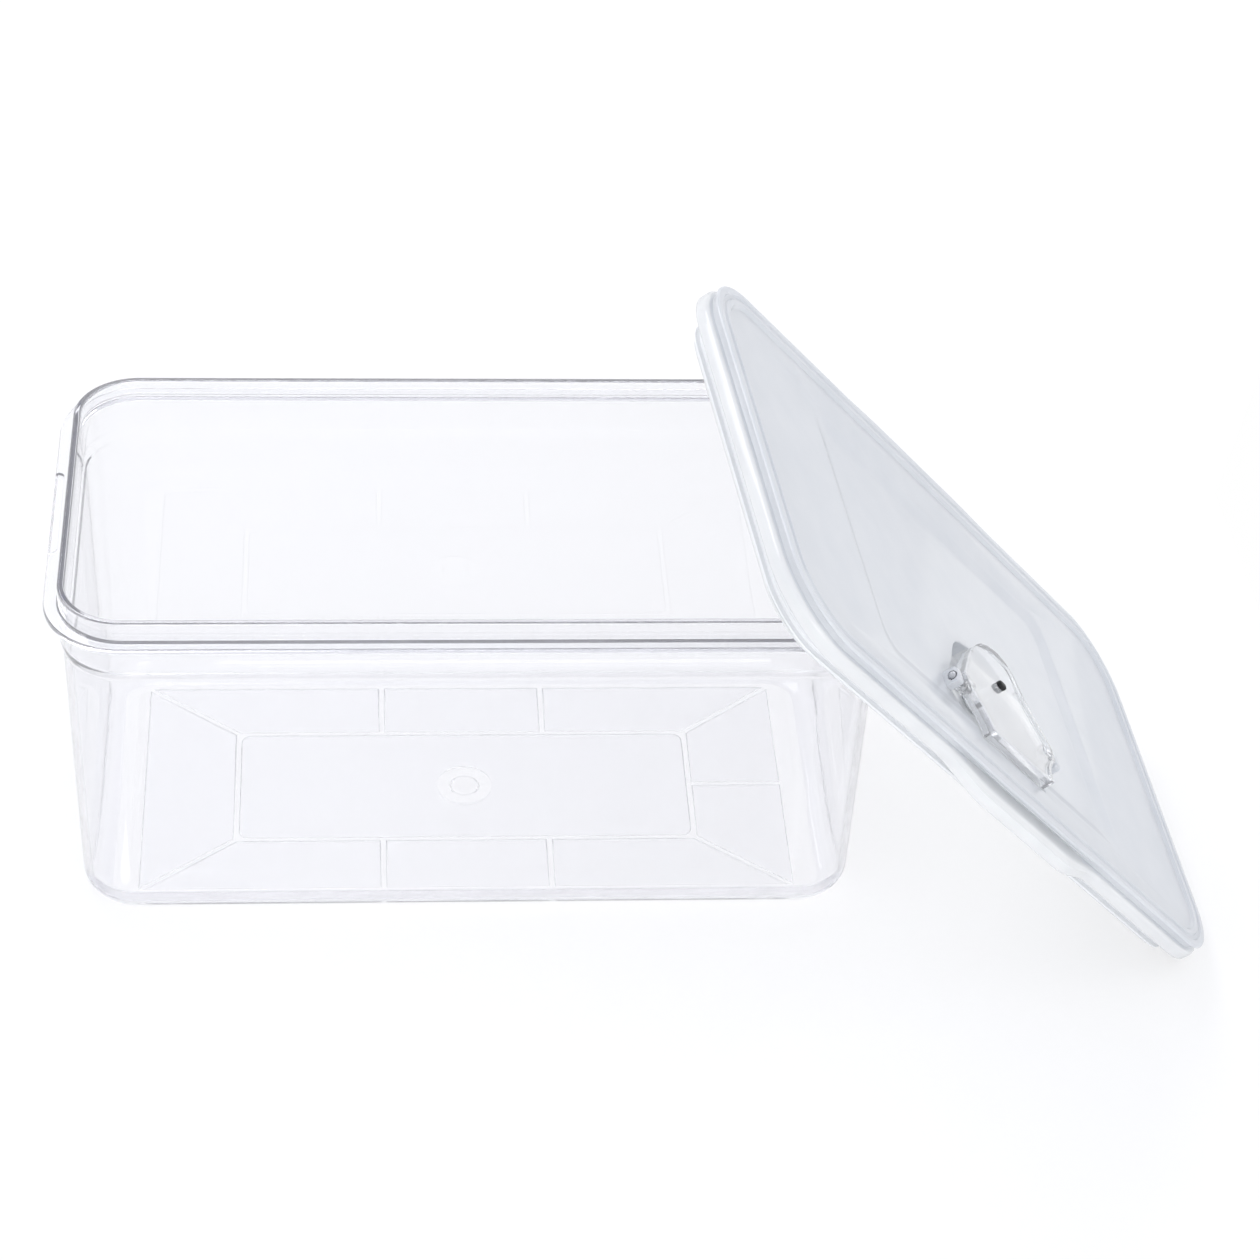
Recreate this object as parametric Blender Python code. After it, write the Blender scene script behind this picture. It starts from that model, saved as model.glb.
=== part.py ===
"""A clear rectangular vacuum food container with its lid taken off.

The tub stands on the table. The lid leans against the tub's right end: one of its
corners touches the table and its inner wall lies on the rim of the tub.
All sizes are in metres, +Z is up, and the origin is the middle of the tub's base.
"""

from math import cos, hypot, pi, radians, sin

import bmesh
import bpy
from mathutils import Matrix, Vector

# Tub
TUB_LENGTH = 0.250
TUB_WIDTH = 0.126
TUB_HEIGHT = 0.1215
CORNER_RADIUS = 0.020
WALL = 0.0024
FLOOR = 0.0030
DRAFT = 0.0019
BASE_FILLET = 0.0090
INNER_FILLET = 0.0080
LIP_HEIGHT = 0.0064
LIP_THICKNESS = 0.0024
FLANGE_REACH = 0.0044
FLANGE_THICKNESS = 0.0022
SHOULDER_DROP = 0.0140
SHOULDER_RISE = 0.0030
SHOULDER_STEP = 0.0008
EDGE = 0.0004

# Lift notches in the short sides of the flange
NOTCH_LENGTH = 0.040
NOTCH_DEPTH = 0.0010
NOTCH_REACH = 0.0030

# Ribs under the floor
RIB_WIDTH = 0.0015
POCKET_DEPTH = 0.0010
RIB_FRAME_LENGTH = 0.1494
RIB_FRAME_WIDTH = 0.0520
RIB_END_MARGIN = 0.0075
RIB_SIDE_MARGIN = 0.0013
CROSS_RIB_SPACING = 0.0540
RIB_CORNER = 0.0035
BOSS_RADIUS = 0.0091
BOSS_RING_RADIUS = 0.0048

# Lid
LID_OVERHANG = 0.0006
LID_WALL = 0.0017
SKIRT_WALL = 0.0020
PLUG_DEPTH = 0.0160
PLUG_WALL = 0.0026
PLUG_CLEARANCE = 0.0014
GASKET_HEIGHT = 0.0042
GASKET_SEAT = 0.0012
GASKET_SQUEEZE = 0.0005
GASKET_LIFT = 0.0024
RIDGE_HEIGHT = 0.0010
FRAME_INSET = 0.0140
FACET_DROP = 0.0014
PANEL_END_MARGIN = 0.0620
PANEL_SIDE_MARGIN = 0.0260
PANEL_STEP = 0.0010
PANEL_BORDER = 0.0035
PANEL_CORNER = 0.0060
TAB_LENGTH = 0.098
TAB_DEPTH = 0.0065
TAB_EASE = 0.026
TAB_AT_TOP = 0.3
TAB_AT_SHOULDER = 0.6
TAB_AT_GROOVE = 0.9
TAB_INSIDE = 0.8

# Valve well, lever, pins and plug
PIVOT_INSET = 0.0330
PIVOT_RISE = 0.0028
SHORT_ARM = 0.0150
LONG_ARM = 0.0240
FAR_HALF_WIDTH = 0.0120
EAR_HALF_WIDTH = 0.0280
NEAR_HALF_WIDTH = 0.0190
LEVER_THICKNESS = 0.0024
LEVER_LIFT = 0.0020
LEVER_RAMP = 0.0090
LEVER_END_ROUND = 0.0043
EAR_RADIUS = 0.0027
EAR_LENGTH = 0.0050
WELL_DEPTH = 0.0062
WELL_CLEARANCE = 0.0012
WELL_WALL = 0.0020
SCOOP_REACH = 0.0085
POST_THICKNESS = 0.0030
POST_LENGTH = 0.0062
PIN_RADIUS = 0.0012
PIN_PROUD = 0.0003
VENT_RADIUS = 0.0020
VALVE_ARM = 0.0120
PLUG_FOOT_RADIUS = 0.0055
PLUG_FOOT = 0.0013
PLUG_NECK_RADIUS = 0.0021
STEM_LENGTH = 0.0036
STEM_WIDTH = 0.0014
PLUG_HEAD = 0.0016
HEAD_MARGIN = 0.0009
CLEARANCE = 0.0003
CUTTER_REACH = 0.0100

# How the lid leans
LEAN_ANGLE = radians(52.4)
LEAN_TURN = radians(14.4)
LEAN_OFFSET = -0.0579

GASKET_STEPS = 7
CORNER_STEPS = 8
FILLET_STEPS = 5
TAB_STEPS = 14
ROUND_STEPS = 32
SMOOTH_ANGLE = radians(35)

# Heights and half sizes worked out from the sizes above
FLANGE_TOP = TUB_HEIGHT - LIP_HEIGHT
SHOULDER_FOOT = FLANGE_TOP - FLANGE_THICKNESS - SHOULDER_DROP
LID_HALF_X = TUB_LENGTH / 2 + FLANGE_REACH + LID_OVERHANG
LID_HALF_Y = TUB_WIDTH / 2 + FLANGE_REACH + LID_OVERHANG
LID_CORNER = CORNER_RADIUS + FLANGE_REACH + LID_OVERHANG
SKIRT = LIP_HEIGHT + LID_WALL
PLUG_OUTER = FLANGE_REACH + LID_OVERHANG + LIP_THICKNESS + PLUG_CLEARANCE
PLUG_INNER = PLUG_OUTER + PLUG_WALL
FRAME_TOP = -RIDGE_HEIGHT
FACET_FOOT = FRAME_TOP - FACET_DROP
PANEL_TOP = FACET_FOOT - PANEL_STEP
PIVOT_OFFSET = LID_HALF_Y - PIVOT_INSET
PIVOT_HEIGHT = PANEL_TOP + PIVOT_RISE
WELL_FLOOR = PANEL_TOP - WELL_DEPTH
LEVER_BOTTOM = -LEVER_THICKNESS / 2 + EAR_RADIUS - LEVER_THICKNESS / 2
POST_INNER = EAR_HALF_WIDTH + WELL_CLEARANCE + CLEARANCE
POST_OUTER = POST_INNER + POST_THICKNESS


def clear_scene():
    for thing in list(bpy.data.objects):
        bpy.data.objects.remove(thing, do_unlink=True)


def plastic(name, colour, roughness, metallic=0.0, transmission=0.0, ior=1.5):
    material = bpy.data.materials.new(name)
    material.use_nodes = True
    shader = material.node_tree.nodes["Principled BSDF"]
    shader.inputs["Base Color"].default_value = (*colour, 1.0)
    shader.inputs["Roughness"].default_value = roughness
    shader.inputs["Metallic"].default_value = metallic
    shader.inputs["Transmission Weight"].default_value = transmission
    shader.inputs["IOR"].default_value = ior
    material.diffuse_color = (*colour, 1.0)
    return material


def add_object(name, bm, material=None, parent=None):
    bmesh.ops.recalc_face_normals(bm, faces=bm.faces)
    mesh = bpy.data.meshes.new(name)
    bm.to_mesh(mesh)
    bm.free()
    thing = bpy.data.objects.new(name, mesh)
    bpy.context.scene.collection.objects.link(thing)
    if material:
        mesh.materials.append(material)
        mesh.shade_smooth()
        mesh.set_sharp_from_angle(angle=SMOOTH_ANGLE)
    thing.parent = parent
    return thing


def helper(name, bm, parent=None):
    """A cutter or a shape to be joined: it isn't a piece of the object."""
    thing = add_object(name, bm, parent=parent)
    thing.hide_render = True
    thing.display_type = "WIRE"
    return thing


def boolean(thing, other, operation):
    modifier = thing.modifiers.new(other.name, "BOOLEAN")
    modifier.operation = operation
    modifier.solver = "EXACT"
    modifier.object = other


def rounded_loop(half_x, half_y, radius, height, bulge=0.0, side_steps=0):
    """Points round a rounded rectangle, with a bulge in the middle of its long sides."""
    points = []
    for turn, (side_x, side_y) in enumerate(((1, 1), (-1, 1), (-1, -1), (1, -1))):
        for step in range(CORNER_STEPS + 1):
            angle = pi / 2 * (turn + step / CORNER_STEPS)
            x = side_x * (half_x - radius) + radius * cos(angle)
            y = side_y * (half_y - radius) + radius * sin(angle)
            points.append((x, y, height))
        if side_steps and turn in (0, 2):
            for step in range(side_steps + 1):
                x = side_x * TAB_LENGTH / 2 * (1 - 2 * step / side_steps)
                points.append((x, side_y * (half_y + bulge * tab_shape(x)), height))
    return points


def tab_shape(x):
    """How far a finger tab stands out at x: 0 at its ends, 1 along its middle."""
    rise = min(1.0, (TAB_LENGTH / 2 - abs(x)) / TAB_EASE)
    return sin(pi / 2 * max(0.0, rise)) ** 2


def skin(loops, ring=False):
    """A closed body through a row of loops, capped at both ends or joined to a ring."""
    bm = bmesh.new()
    rows = [[bm.verts.new(point) for point in loop] for loop in loops]
    pairs = list(zip(rows, rows[1:]))
    if ring:
        pairs.append((rows[-1], rows[0]))
    else:
        bm.faces.new(rows[0])
        bm.faces.new(rows[-1])
    for lower, upper in pairs:
        count = len(lower)
        for index in range(count):
            after = (index + 1) % count
            bm.faces.new((lower[index], lower[after], upper[after], upper[index]))
    return bm


def prism(outline, low, high):
    """A body with a flat outline between two heights."""
    return skin([[(x, y, low) for x, y in outline], [(x, y, high) for x, y in outline]])


def box(low, high):
    outline = [(low[0], low[1]), (high[0], low[1]), (high[0], high[1]), (low[0], high[1])]
    return prism(outline, low[2], high[2])


def cylinder(radius, low, high, centre=(0.0, 0.0), along_x=False):
    """A round bar from low to high along Z, or along X."""
    bm = bmesh.new()
    bmesh.ops.create_cone(
        bm, cap_ends=True, segments=ROUND_STEPS, radius1=radius, radius2=radius, depth=high - low
    )
    middle = (low + high) / 2
    if along_x:
        bmesh.ops.rotate(bm, verts=bm.verts, cent=(0, 0, 0), matrix=Matrix.Rotation(pi / 2, 3, "Y"))
        bmesh.ops.translate(bm, verts=bm.verts, vec=(middle, centre[0], centre[1]))
    else:
        bmesh.ops.translate(bm, verts=bm.verts, vec=(centre[0], centre[1], middle))
    return bm


def turned(profile):
    """A body turned round the Z axis from (radius, height) pairs, bottom to top."""
    rings = []
    for radius, height in profile:
        angles = [2 * pi * step / ROUND_STEPS for step in range(ROUND_STEPS)]
        rings.append([(radius * cos(angle), radius * sin(angle), height) for angle in angles])
    return skin(rings)


def moved(bm, offset):
    bmesh.ops.translate(bm, verts=bm.verts, vec=offset)
    return bm


def tub_loop(inset, height):
    radius = CORNER_RADIUS - inset
    return rounded_loop(TUB_LENGTH / 2 - inset, TUB_WIDTH / 2 - inset, radius, height)


def wall_inset(height):
    """The wall leans out from the base to the shoulder."""
    return SHOULDER_STEP + DRAFT * (1 - height / SHOULDER_FOOT)


def fillet(inset, height, radius):
    """The round foot of a wall as (inset, height) pairs, from the flat bottom upwards."""
    pairs = []
    for step in range(FILLET_STEPS + 1):
        angle = pi / 2 * step / FILLET_STEPS
        pairs.append((inset + radius * (1 - sin(angle)), height + radius * (1 - cos(angle))))
    return pairs


def make_tub(material):
    outside = fillet(wall_inset(BASE_FILLET), 0.0, BASE_FILLET)
    outside += [
        (SHOULDER_STEP, SHOULDER_FOOT),
        (0.0, SHOULDER_FOOT + SHOULDER_RISE),
        (0.0, FLANGE_TOP - FLANGE_THICKNESS),
        (EDGE - FLANGE_REACH, FLANGE_TOP - FLANGE_THICKNESS),
        (-FLANGE_REACH, FLANGE_TOP - FLANGE_THICKNESS + EDGE),
        (-FLANGE_REACH, FLANGE_TOP - EDGE),
        (EDGE - FLANGE_REACH, FLANGE_TOP),
        (0.0, FLANGE_TOP),
        (0.0, TUB_HEIGHT - EDGE),
        (EDGE, TUB_HEIGHT),
    ]
    inner_foot = FLOOR + INNER_FILLET
    inside = fillet(WALL + wall_inset(inner_foot), FLOOR, INNER_FILLET)
    inside += [
        (WALL + SHOULDER_STEP, SHOULDER_FOOT),
        (LIP_THICKNESS, SHOULDER_FOOT + SHOULDER_RISE),
        (LIP_THICKNESS, TUB_HEIGHT - EDGE),
        (LIP_THICKNESS - EDGE, TUB_HEIGHT),
    ]
    section = outside + inside[::-1]
    tub = add_object("tub", skin([tub_loop(*pair) for pair in section]), material)
    boolean(tub, helper("floor_pockets", floor_pockets()), "DIFFERENCE")
    boss = cylinder(BOSS_RADIUS, 0.0, FLOOR / 2)
    boolean(tub, helper("floor_boss", boss), "UNION")
    boolean(tub, helper("boss_groove", boss_groove()), "DIFFERENCE")
    boolean(tub, helper("flange_notches", flange_notches()), "DIFFERENCE")
    return tub


def floor_pockets():
    """Shallow pockets under the floor; what stays between them is the net of ribs."""
    flat = wall_inset(BASE_FILLET) + BASE_FILLET
    in_x = RIB_FRAME_LENGTH / 2
    in_y = RIB_FRAME_WIDTH / 2
    out_x = TUB_LENGTH / 2 - flat - RIB_END_MARGIN
    out_y = TUB_WIDTH / 2 - flat - RIB_SIDE_MARGIN
    rib_x = CROSS_RIB_SPACING / 2
    outer = [(-out_x, -out_y), (-rib_x, -out_y), (rib_x, -out_y), (out_x, -out_y)]
    outer += [(out_x, 0), (out_x, out_y), (rib_x, out_y), (-rib_x, out_y), (-out_x, out_y)]
    inner = [(-in_x, -in_y), (-rib_x, -in_y), (rib_x, -in_y), (in_x, -in_y)]
    inner += [(in_x, 0), (in_x, in_y), (rib_x, in_y), (-rib_x, in_y), (-in_x, in_y)]
    bm = bmesh.new()
    outer_verts = [bm.verts.new((x, y, -EDGE)) for x, y in outer]
    inner_verts = [bm.verts.new((x, y, -EDGE)) for x, y in inner]
    cells = [bm.faces.new(inner_verts)]
    count = len(outer_verts)
    for index in range(count):
        after = (index + 1) % count
        corners = (outer_verts[index], outer_verts[after], inner_verts[after], inner_verts[index])
        cells.append(bm.faces.new(corners))
    bm.normal_update()
    ribs = bmesh.ops.inset_individual(
        bm, faces=cells, thickness=RIB_WIDTH / 2, use_even_offset=True
    )
    bmesh.ops.delete(bm, geom=ribs["faces"], context="FACES")
    frame_reach = hypot(in_x - RIB_WIDTH, in_y - RIB_WIDTH)
    frame_corners = [
        vert
        for vert in bm.verts
        if abs(vert.co.y) < in_y and abs(vert.co.x) < in_x and vert.co.xy.length > frame_reach
    ]
    bmesh.ops.bevel(
        bm, geom=frame_corners, offset=RIB_CORNER, segments=4, profile=0.5, affect="VERTICES"
    )
    raised = bmesh.ops.extrude_face_region(bm, geom=bm.faces[:])
    top = [item for item in raised["geom"] if isinstance(item, bmesh.types.BMVert)]
    bmesh.ops.translate(bm, verts=top, vec=(0, 0, POCKET_DEPTH + EDGE))
    return bm


def boss_groove():
    """A fine ring groove in the round boss under the middle of the floor."""
    rings = []
    for radius, height in (
        (BOSS_RING_RADIUS, -EDGE),
        (BOSS_RING_RADIUS, EDGE),
        (BOSS_RING_RADIUS + EDGE, EDGE),
        (BOSS_RING_RADIUS + EDGE, -EDGE),
    ):
        angles = [2 * pi * step / ROUND_STEPS for step in range(ROUND_STEPS)]
        rings.append([(radius * cos(angle), radius * sin(angle), height) for angle in angles])
    return skin(rings, ring=True)


def flange_notches():
    """Shallow lift notches in the top of the flange, one at each short side."""
    bm = bmesh.new()
    outer = TUB_LENGTH / 2 + FLANGE_REACH
    for side in (-1, 1):
        near_x, far_x = sorted((side * (outer - NOTCH_REACH), side * (outer + EDGE)))
        corners = box(
            (near_x, -NOTCH_LENGTH / 2, FLANGE_TOP - NOTCH_DEPTH),
            (far_x, NOTCH_LENGTH / 2, FLANGE_TOP + EDGE),
        )
        mesh = bpy.data.meshes.new("notch")
        corners.to_mesh(mesh)
        corners.free()
        bm.from_mesh(mesh)
        bpy.data.meshes.remove(mesh)
    return bm


def lid_loop(inset, height, reach=0.0):
    half_x = LID_HALF_X - inset
    half_y = LID_HALF_Y - inset
    radius = LID_CORNER - inset
    return rounded_loop(half_x, half_y, radius, height, reach * TAB_DEPTH, TAB_STEPS)


def panel_loop(grow, height):
    half_x = LID_HALF_X - PANEL_END_MARGIN + grow
    half_y = LID_HALF_Y - PANEL_SIDE_MARGIN + grow
    return rounded_loop(half_x, half_y, PANEL_CORNER + grow, height, 0.0, TAB_STEPS)


def make_lid(material, frame):
    gasket_foot = GASKET_LIFT - PLUG_DEPTH
    gasket_top = gasket_foot + GASKET_HEIGHT + 2 * CLEARANCE
    skirt_top = -SKIRT / 2
    ridge = RIDGE_HEIGHT
    loops = [
        panel_loop(0.0, PANEL_TOP - LID_WALL),
        panel_loop(PANEL_BORDER, FACET_FOOT - LID_WALL),
        lid_loop(FRAME_INSET, FRAME_TOP - LID_WALL),
        lid_loop(PLUG_INNER, FRAME_TOP - LID_WALL),
        lid_loop(PLUG_INNER, EDGE - PLUG_DEPTH),
        lid_loop(PLUG_INNER - EDGE, -PLUG_DEPTH),
        lid_loop(PLUG_OUTER + EDGE, -PLUG_DEPTH),
        lid_loop(PLUG_OUTER, EDGE - PLUG_DEPTH),
        lid_loop(PLUG_OUTER, gasket_foot),
        lid_loop(PLUG_OUTER + GASKET_SEAT, gasket_foot),
        lid_loop(PLUG_OUTER + GASKET_SEAT, gasket_top),
        lid_loop(PLUG_OUTER, gasket_top),
        lid_loop(PLUG_OUTER, -LID_WALL),
        lid_loop(SKIRT_WALL, -LID_WALL, TAB_AT_TOP),
        lid_loop(SKIRT_WALL, -SKIRT, TAB_INSIDE),
        lid_loop(EDGE, -SKIRT, 1.0),
        lid_loop(0.0, EDGE - SKIRT, 1.0),
        lid_loop(0.0, skirt_top - EDGE, 1.0),
        lid_loop(2 * EDGE, skirt_top, 1.0),
        lid_loop(2 * EDGE, skirt_top + ridge, 1.0),
        lid_loop(EDGE, skirt_top + ridge + EDGE, TAB_AT_GROOVE),
        lid_loop(EDGE, -ridge - ridge / 2, TAB_AT_SHOULDER),
        lid_loop(SKIRT_WALL / 2, -ridge / 2, TAB_AT_TOP),
        lid_loop(SKIRT_WALL, 0.0),
        lid_loop(SKIRT_WALL + ridge, 0.0),
        lid_loop(SKIRT_WALL + 2 * ridge, -ridge / 2),
        lid_loop(SKIRT_WALL + 3 * ridge, -ridge / 2),
        lid_loop(SKIRT_WALL + 4 * ridge, 0.0),
        lid_loop(SKIRT_WALL + 5 * ridge, 0.0),
        lid_loop(SKIRT_WALL + 6 * ridge, FRAME_TOP),
        lid_loop(FRAME_INSET, FRAME_TOP),
        panel_loop(PANEL_BORDER, FACET_FOOT),
        panel_loop(0.0, PANEL_TOP),
    ]
    lid = add_object("lid", skin(loops), material, frame)
    add_well(lid, frame)
    return lid


def lever_outline(grow=0.0, scoop=0.0):
    """The lever seen from above, in lid coordinates: wide at its ears, round at its lifting end.

    The well has the same outline, grown all round and lengthened by a scoop for a finger.
    """
    near = -PIVOT_OFFSET - SHORT_ARM
    far = -PIVOT_OFFSET + LONG_ARM
    ear = -PIVOT_OFFSET
    side = EAR_RADIUS + grow / 2
    points = [(-NEAR_HALF_WIDTH - grow / 2, near - grow), (NEAR_HALF_WIDTH + grow / 2, near - grow)]
    points += [(EAR_HALF_WIDTH + grow, ear - side), (EAR_HALF_WIDTH + grow, ear + side)]
    for step in range(CORNER_STEPS + 1):
        angle = pi * step / CORNER_STEPS
        x = (FAR_HALF_WIDTH + grow) * cos(angle)
        reach = (LEVER_END_ROUND + grow + scoop) * sin(angle)
        points.append((x, far - LEVER_END_ROUND + reach))
    points += [(-EAR_HALF_WIDTH - grow, ear + side), (-EAR_HALF_WIDTH - grow, ear - side)]
    return points


def add_well(lid, frame):
    """The sunk well for the lever, its finger scoop, its two posts and the vent."""
    under = WELL_FLOOR - WELL_WALL
    outer = prism(lever_outline(WELL_CLEARANCE + WELL_WALL, SCOOP_REACH), under, FACET_FOOT - EDGE)
    hollow = prism(lever_outline(WELL_CLEARANCE, SCOOP_REACH), WELL_FLOOR, SKIRT)
    vent = cylinder(VENT_RADIUS, under - EDGE, WELL_FLOOR + EDGE, (0.0, VALVE_ARM - PIVOT_OFFSET))
    boolean(lid, helper("well_wall", outer, frame), "UNION")
    boolean(lid, helper("well_hollow", hollow, frame), "DIFFERENCE")
    boolean(lid, helper("vent", vent, frame), "DIFFERENCE")
    post_top = PIVOT_HEIGHT + POST_LENGTH / 2
    for name, side in (("left", -1), ("right", 1)):
        low_x, high_x = sorted((side * POST_INNER, side * POST_OUTER))
        post = box(
            (low_x, -PIVOT_OFFSET - POST_LENGTH / 2, PANEL_TOP - LID_WALL / 2),
            (high_x, -PIVOT_OFFSET + POST_LENGTH / 2, post_top),
        )
        low_x, high_x = sorted((side * (POST_INNER - EDGE), side * (POST_OUTER + EDGE)))
        axis = (-PIVOT_OFFSET, PIVOT_HEIGHT)
        bore = cylinder(PIN_RADIUS + CLEARANCE, low_x, high_x, axis, along_x=True)
        boolean(lid, helper("post_" + name, post, frame), "UNION")
        boolean(lid, helper("post_bore_" + name, bore, frame), "DIFFERENCE")


def make_gasket(material, frame):
    """A soft ring in the groove of the lid's inner wall, with two lips on its outer side."""
    foot = GASKET_LIFT - PLUG_DEPTH + CLEARANCE
    seat = PLUG_OUTER + GASKET_SEAT - CLEARANCE
    face = PLUG_OUTER - CLEARANCE
    tip = FLANGE_REACH + LID_OVERHANG + LIP_THICKNESS - GASKET_SQUEEZE
    step = GASKET_HEIGHT / GASKET_STEPS
    section = [(seat, 0), (face, 0), (tip, 1), (tip, 2), (face, 3)]
    section += [(face, 4), (tip, 5), (tip, 6), (face, GASKET_STEPS), (seat, GASKET_STEPS)]
    loops = []
    for inset, steps in section:
        half_x = LID_HALF_X - inset
        half_y = LID_HALF_Y - inset
        height = foot + steps * step
        loops.append(rounded_loop(half_x, half_y, LID_CORNER - inset, height))
    return add_object("lid_gasket", skin(loops, ring=True), material, frame)


def make_lever(material, axis):
    """The clear lever: a plate on two ears, its lifting end turned up for a finger."""
    near = -SHORT_ARM - EDGE
    far = LONG_ARM + EDGE
    ramp = LONG_ARM - LEVER_RAMP
    low = LEVER_BOTTOM
    high = LEVER_BOTTOM + LEVER_THICKNESS
    side = [(near, low), (ramp, low), (far, low + LEVER_LIFT)]
    side += [(far, high + LEVER_LIFT), (ramp, high), (near, high)]
    reach = EAR_HALF_WIDTH + EDGE
    slab = skin([[(-reach, y, z) for y, z in side], [(reach, y, z) for y, z in side]])
    lever = add_object("valve_lever", slab, material, axis)
    outline = [(x, y + PIVOT_OFFSET) for x, y in lever_outline()]
    plan = prism(outline, -CUTTER_REACH, CUTTER_REACH)
    boolean(lever, helper("lever_outline", plan, axis), "INTERSECT")
    for name, side_x in (("left", -1), ("right", 1)):
        low_x, high_x = sorted((side_x * (EAR_HALF_WIDTH - EAR_LENGTH), side_x * EAR_HALF_WIDTH))
        ear = cylinder(EAR_RADIUS, low_x, high_x, (0.0, 0.0), along_x=True)
        low_x, high_x = sorted(
            (side_x * (EAR_HALF_WIDTH - EAR_LENGTH - EDGE), side_x * (EAR_HALF_WIDTH + EDGE))
        )
        bore = cylinder(PIN_RADIUS + CLEARANCE, low_x, high_x, (0.0, 0.0), along_x=True)
        boolean(lever, helper("ear_" + name, ear, axis), "UNION")
        boolean(lever, helper("ear_bore_" + name, bore, axis), "DIFFERENCE")
    slot_x = STEM_LENGTH / 2 + CLEARANCE
    slot_y = STEM_WIDTH / 2 + CLEARANCE
    slot = box(
        (-slot_x, VALVE_ARM - slot_y, -CUTTER_REACH),
        (slot_x, VALVE_ARM + slot_y, CUTTER_REACH),
    )
    boolean(lever, helper("stem_slot", slot, axis), "DIFFERENCE")
    return lever


def make_pin(name, side, material, frame):
    """A short steel pin through a post of the lid into an ear of the lever."""
    inner = side * (EAR_HALF_WIDTH - EAR_LENGTH)
    outer = side * (POST_OUTER + PIN_PROUD)
    low_x, high_x = sorted((inner, outer))
    pin = cylinder(PIN_RADIUS, low_x, high_x, (-PIVOT_OFFSET, PIVOT_HEIGHT), along_x=True)
    return add_object(name, pin, material, frame)


def make_plug(material, axis):
    """The soft valve plug: its foot closes the vent and its head holds it in the lever."""
    foot = WELL_FLOOR - PIVOT_HEIGHT + CLEARANCE
    neck_top = LEVER_BOTTOM - CLEARANCE
    head = LEVER_BOTTOM + LEVER_THICKNESS + CLEARANCE
    body = turned(
        [
            (PLUG_FOOT_RADIUS - EDGE, foot),
            (PLUG_FOOT_RADIUS, foot + EDGE),
            (PLUG_FOOT_RADIUS, foot + PLUG_FOOT),
            (PLUG_NECK_RADIUS, foot + 2 * PLUG_FOOT),
            (PLUG_NECK_RADIUS, neck_top),
        ]
    )
    plug = add_object("valve_plug", moved(body, (0, VALVE_ARM, 0)), material, axis)
    half_x = STEM_LENGTH / 2
    half_y = STEM_WIDTH / 2
    stem = box(
        (-half_x, VALVE_ARM - half_y, neck_top - PLUG_FOOT),
        (half_x, VALVE_ARM + half_y, head + PLUG_HEAD / 2),
    )
    knob = skin(
        [
            rounded_loop(half_x + HEAD_MARGIN, half_y + HEAD_MARGIN, half_y, head),
            rounded_loop(half_x + HEAD_MARGIN, half_y + HEAD_MARGIN, half_y, head + PLUG_HEAD / 2),
            rounded_loop(half_x, half_y, half_y / 2, head + PLUG_HEAD),
        ]
    )
    boolean(plug, helper("plug_stem", stem, axis), "UNION")
    boolean(plug, helper("plug_head", moved(knob, (0, VALVE_ARM, 0)), axis), "UNION")
    return plug


def lean_matrix():
    """Where the leaning lid lies: its corner on the table, its inner wall on the tub's rim."""
    turn = Matrix.Rotation(LEAN_ANGLE, 3, "Y") @ Matrix.Rotation(LEAN_TURN, 3, "Z")
    normal = turn @ Vector((0, 0, 1))
    downhill = Vector((cos(LEAN_ANGLE), 0, -sin(LEAN_ANGLE)))
    flange_edge = Vector((TUB_LENGTH / 2 + FLANGE_REACH, 0, FLANGE_TOP - EDGE))
    lip_edge = Vector((TUB_LENGTH / 2, 0, TUB_HEIGHT - EDGE))
    lift = max(flange_edge.dot(normal), lip_edge.dot(normal)) + CLEARANCE + PLUG_DEPTH
    slope_x = (turn @ Vector((1, 0, 0))).z
    slope_y = (turn @ Vector((0, 1, 0))).z
    drop = abs(slope_x) * (LID_HALF_X - LID_CORNER) + abs(slope_y) * (LID_HALF_Y - LID_CORNER)
    drop += hypot(slope_x, slope_y) * LID_CORNER + SKIRT * normal.z
    slide = (lift * normal.z - drop - CLEARANCE) / sin(LEAN_ANGLE)
    centre = downhill * slide + Vector((0, LEAN_OFFSET, 0)) + normal * lift
    return Matrix.Translation(centre) @ turn.to_4x4()


def add_empty(name, matrix, parent=None):
    empty = bpy.data.objects.new(name, None)
    empty.empty_display_size = CORNER_RADIUS
    bpy.context.scene.collection.objects.link(empty)
    empty.parent = parent
    empty.matrix_local = matrix
    return empty


def main():
    clear_scene()
    clear_san = plastic("clear_san", (0.93, 0.95, 0.97), 0.04, transmission=1.0, ior=1.57)
    frosted_pp = plastic("frosted_pp", (0.84, 0.87, 0.90), 0.35, transmission=0.3)
    white_silicone = plastic("white_silicone", (0.88, 0.89, 0.90), 0.55)
    clear_pc = plastic("clear_lever_plastic", (0.90, 0.93, 0.96), 0.05, transmission=1.0, ior=1.58)
    steel = plastic("pin_steel", (0.45, 0.46, 0.48), 0.30, metallic=1.0)
    black_silicone = plastic("black_silicone", (0.02, 0.02, 0.025), 0.50)
    make_tub(clear_san)
    lid_frame = add_empty("lid_frame", lean_matrix())
    make_lid(frosted_pp, lid_frame)
    make_gasket(white_silicone, lid_frame)
    axis_place = Matrix.Translation((0, -PIVOT_OFFSET, PIVOT_HEIGHT))
    lever_axis = add_empty("lever_axis", axis_place, lid_frame)
    make_lever(clear_pc, lever_axis)
    make_pin("lever_pin_left", -1, steel, lid_frame)
    make_pin("lever_pin_right", 1, steel, lid_frame)
    make_plug(black_silicone, lever_axis)
    bpy.context.view_layer.update()


main()
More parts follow.
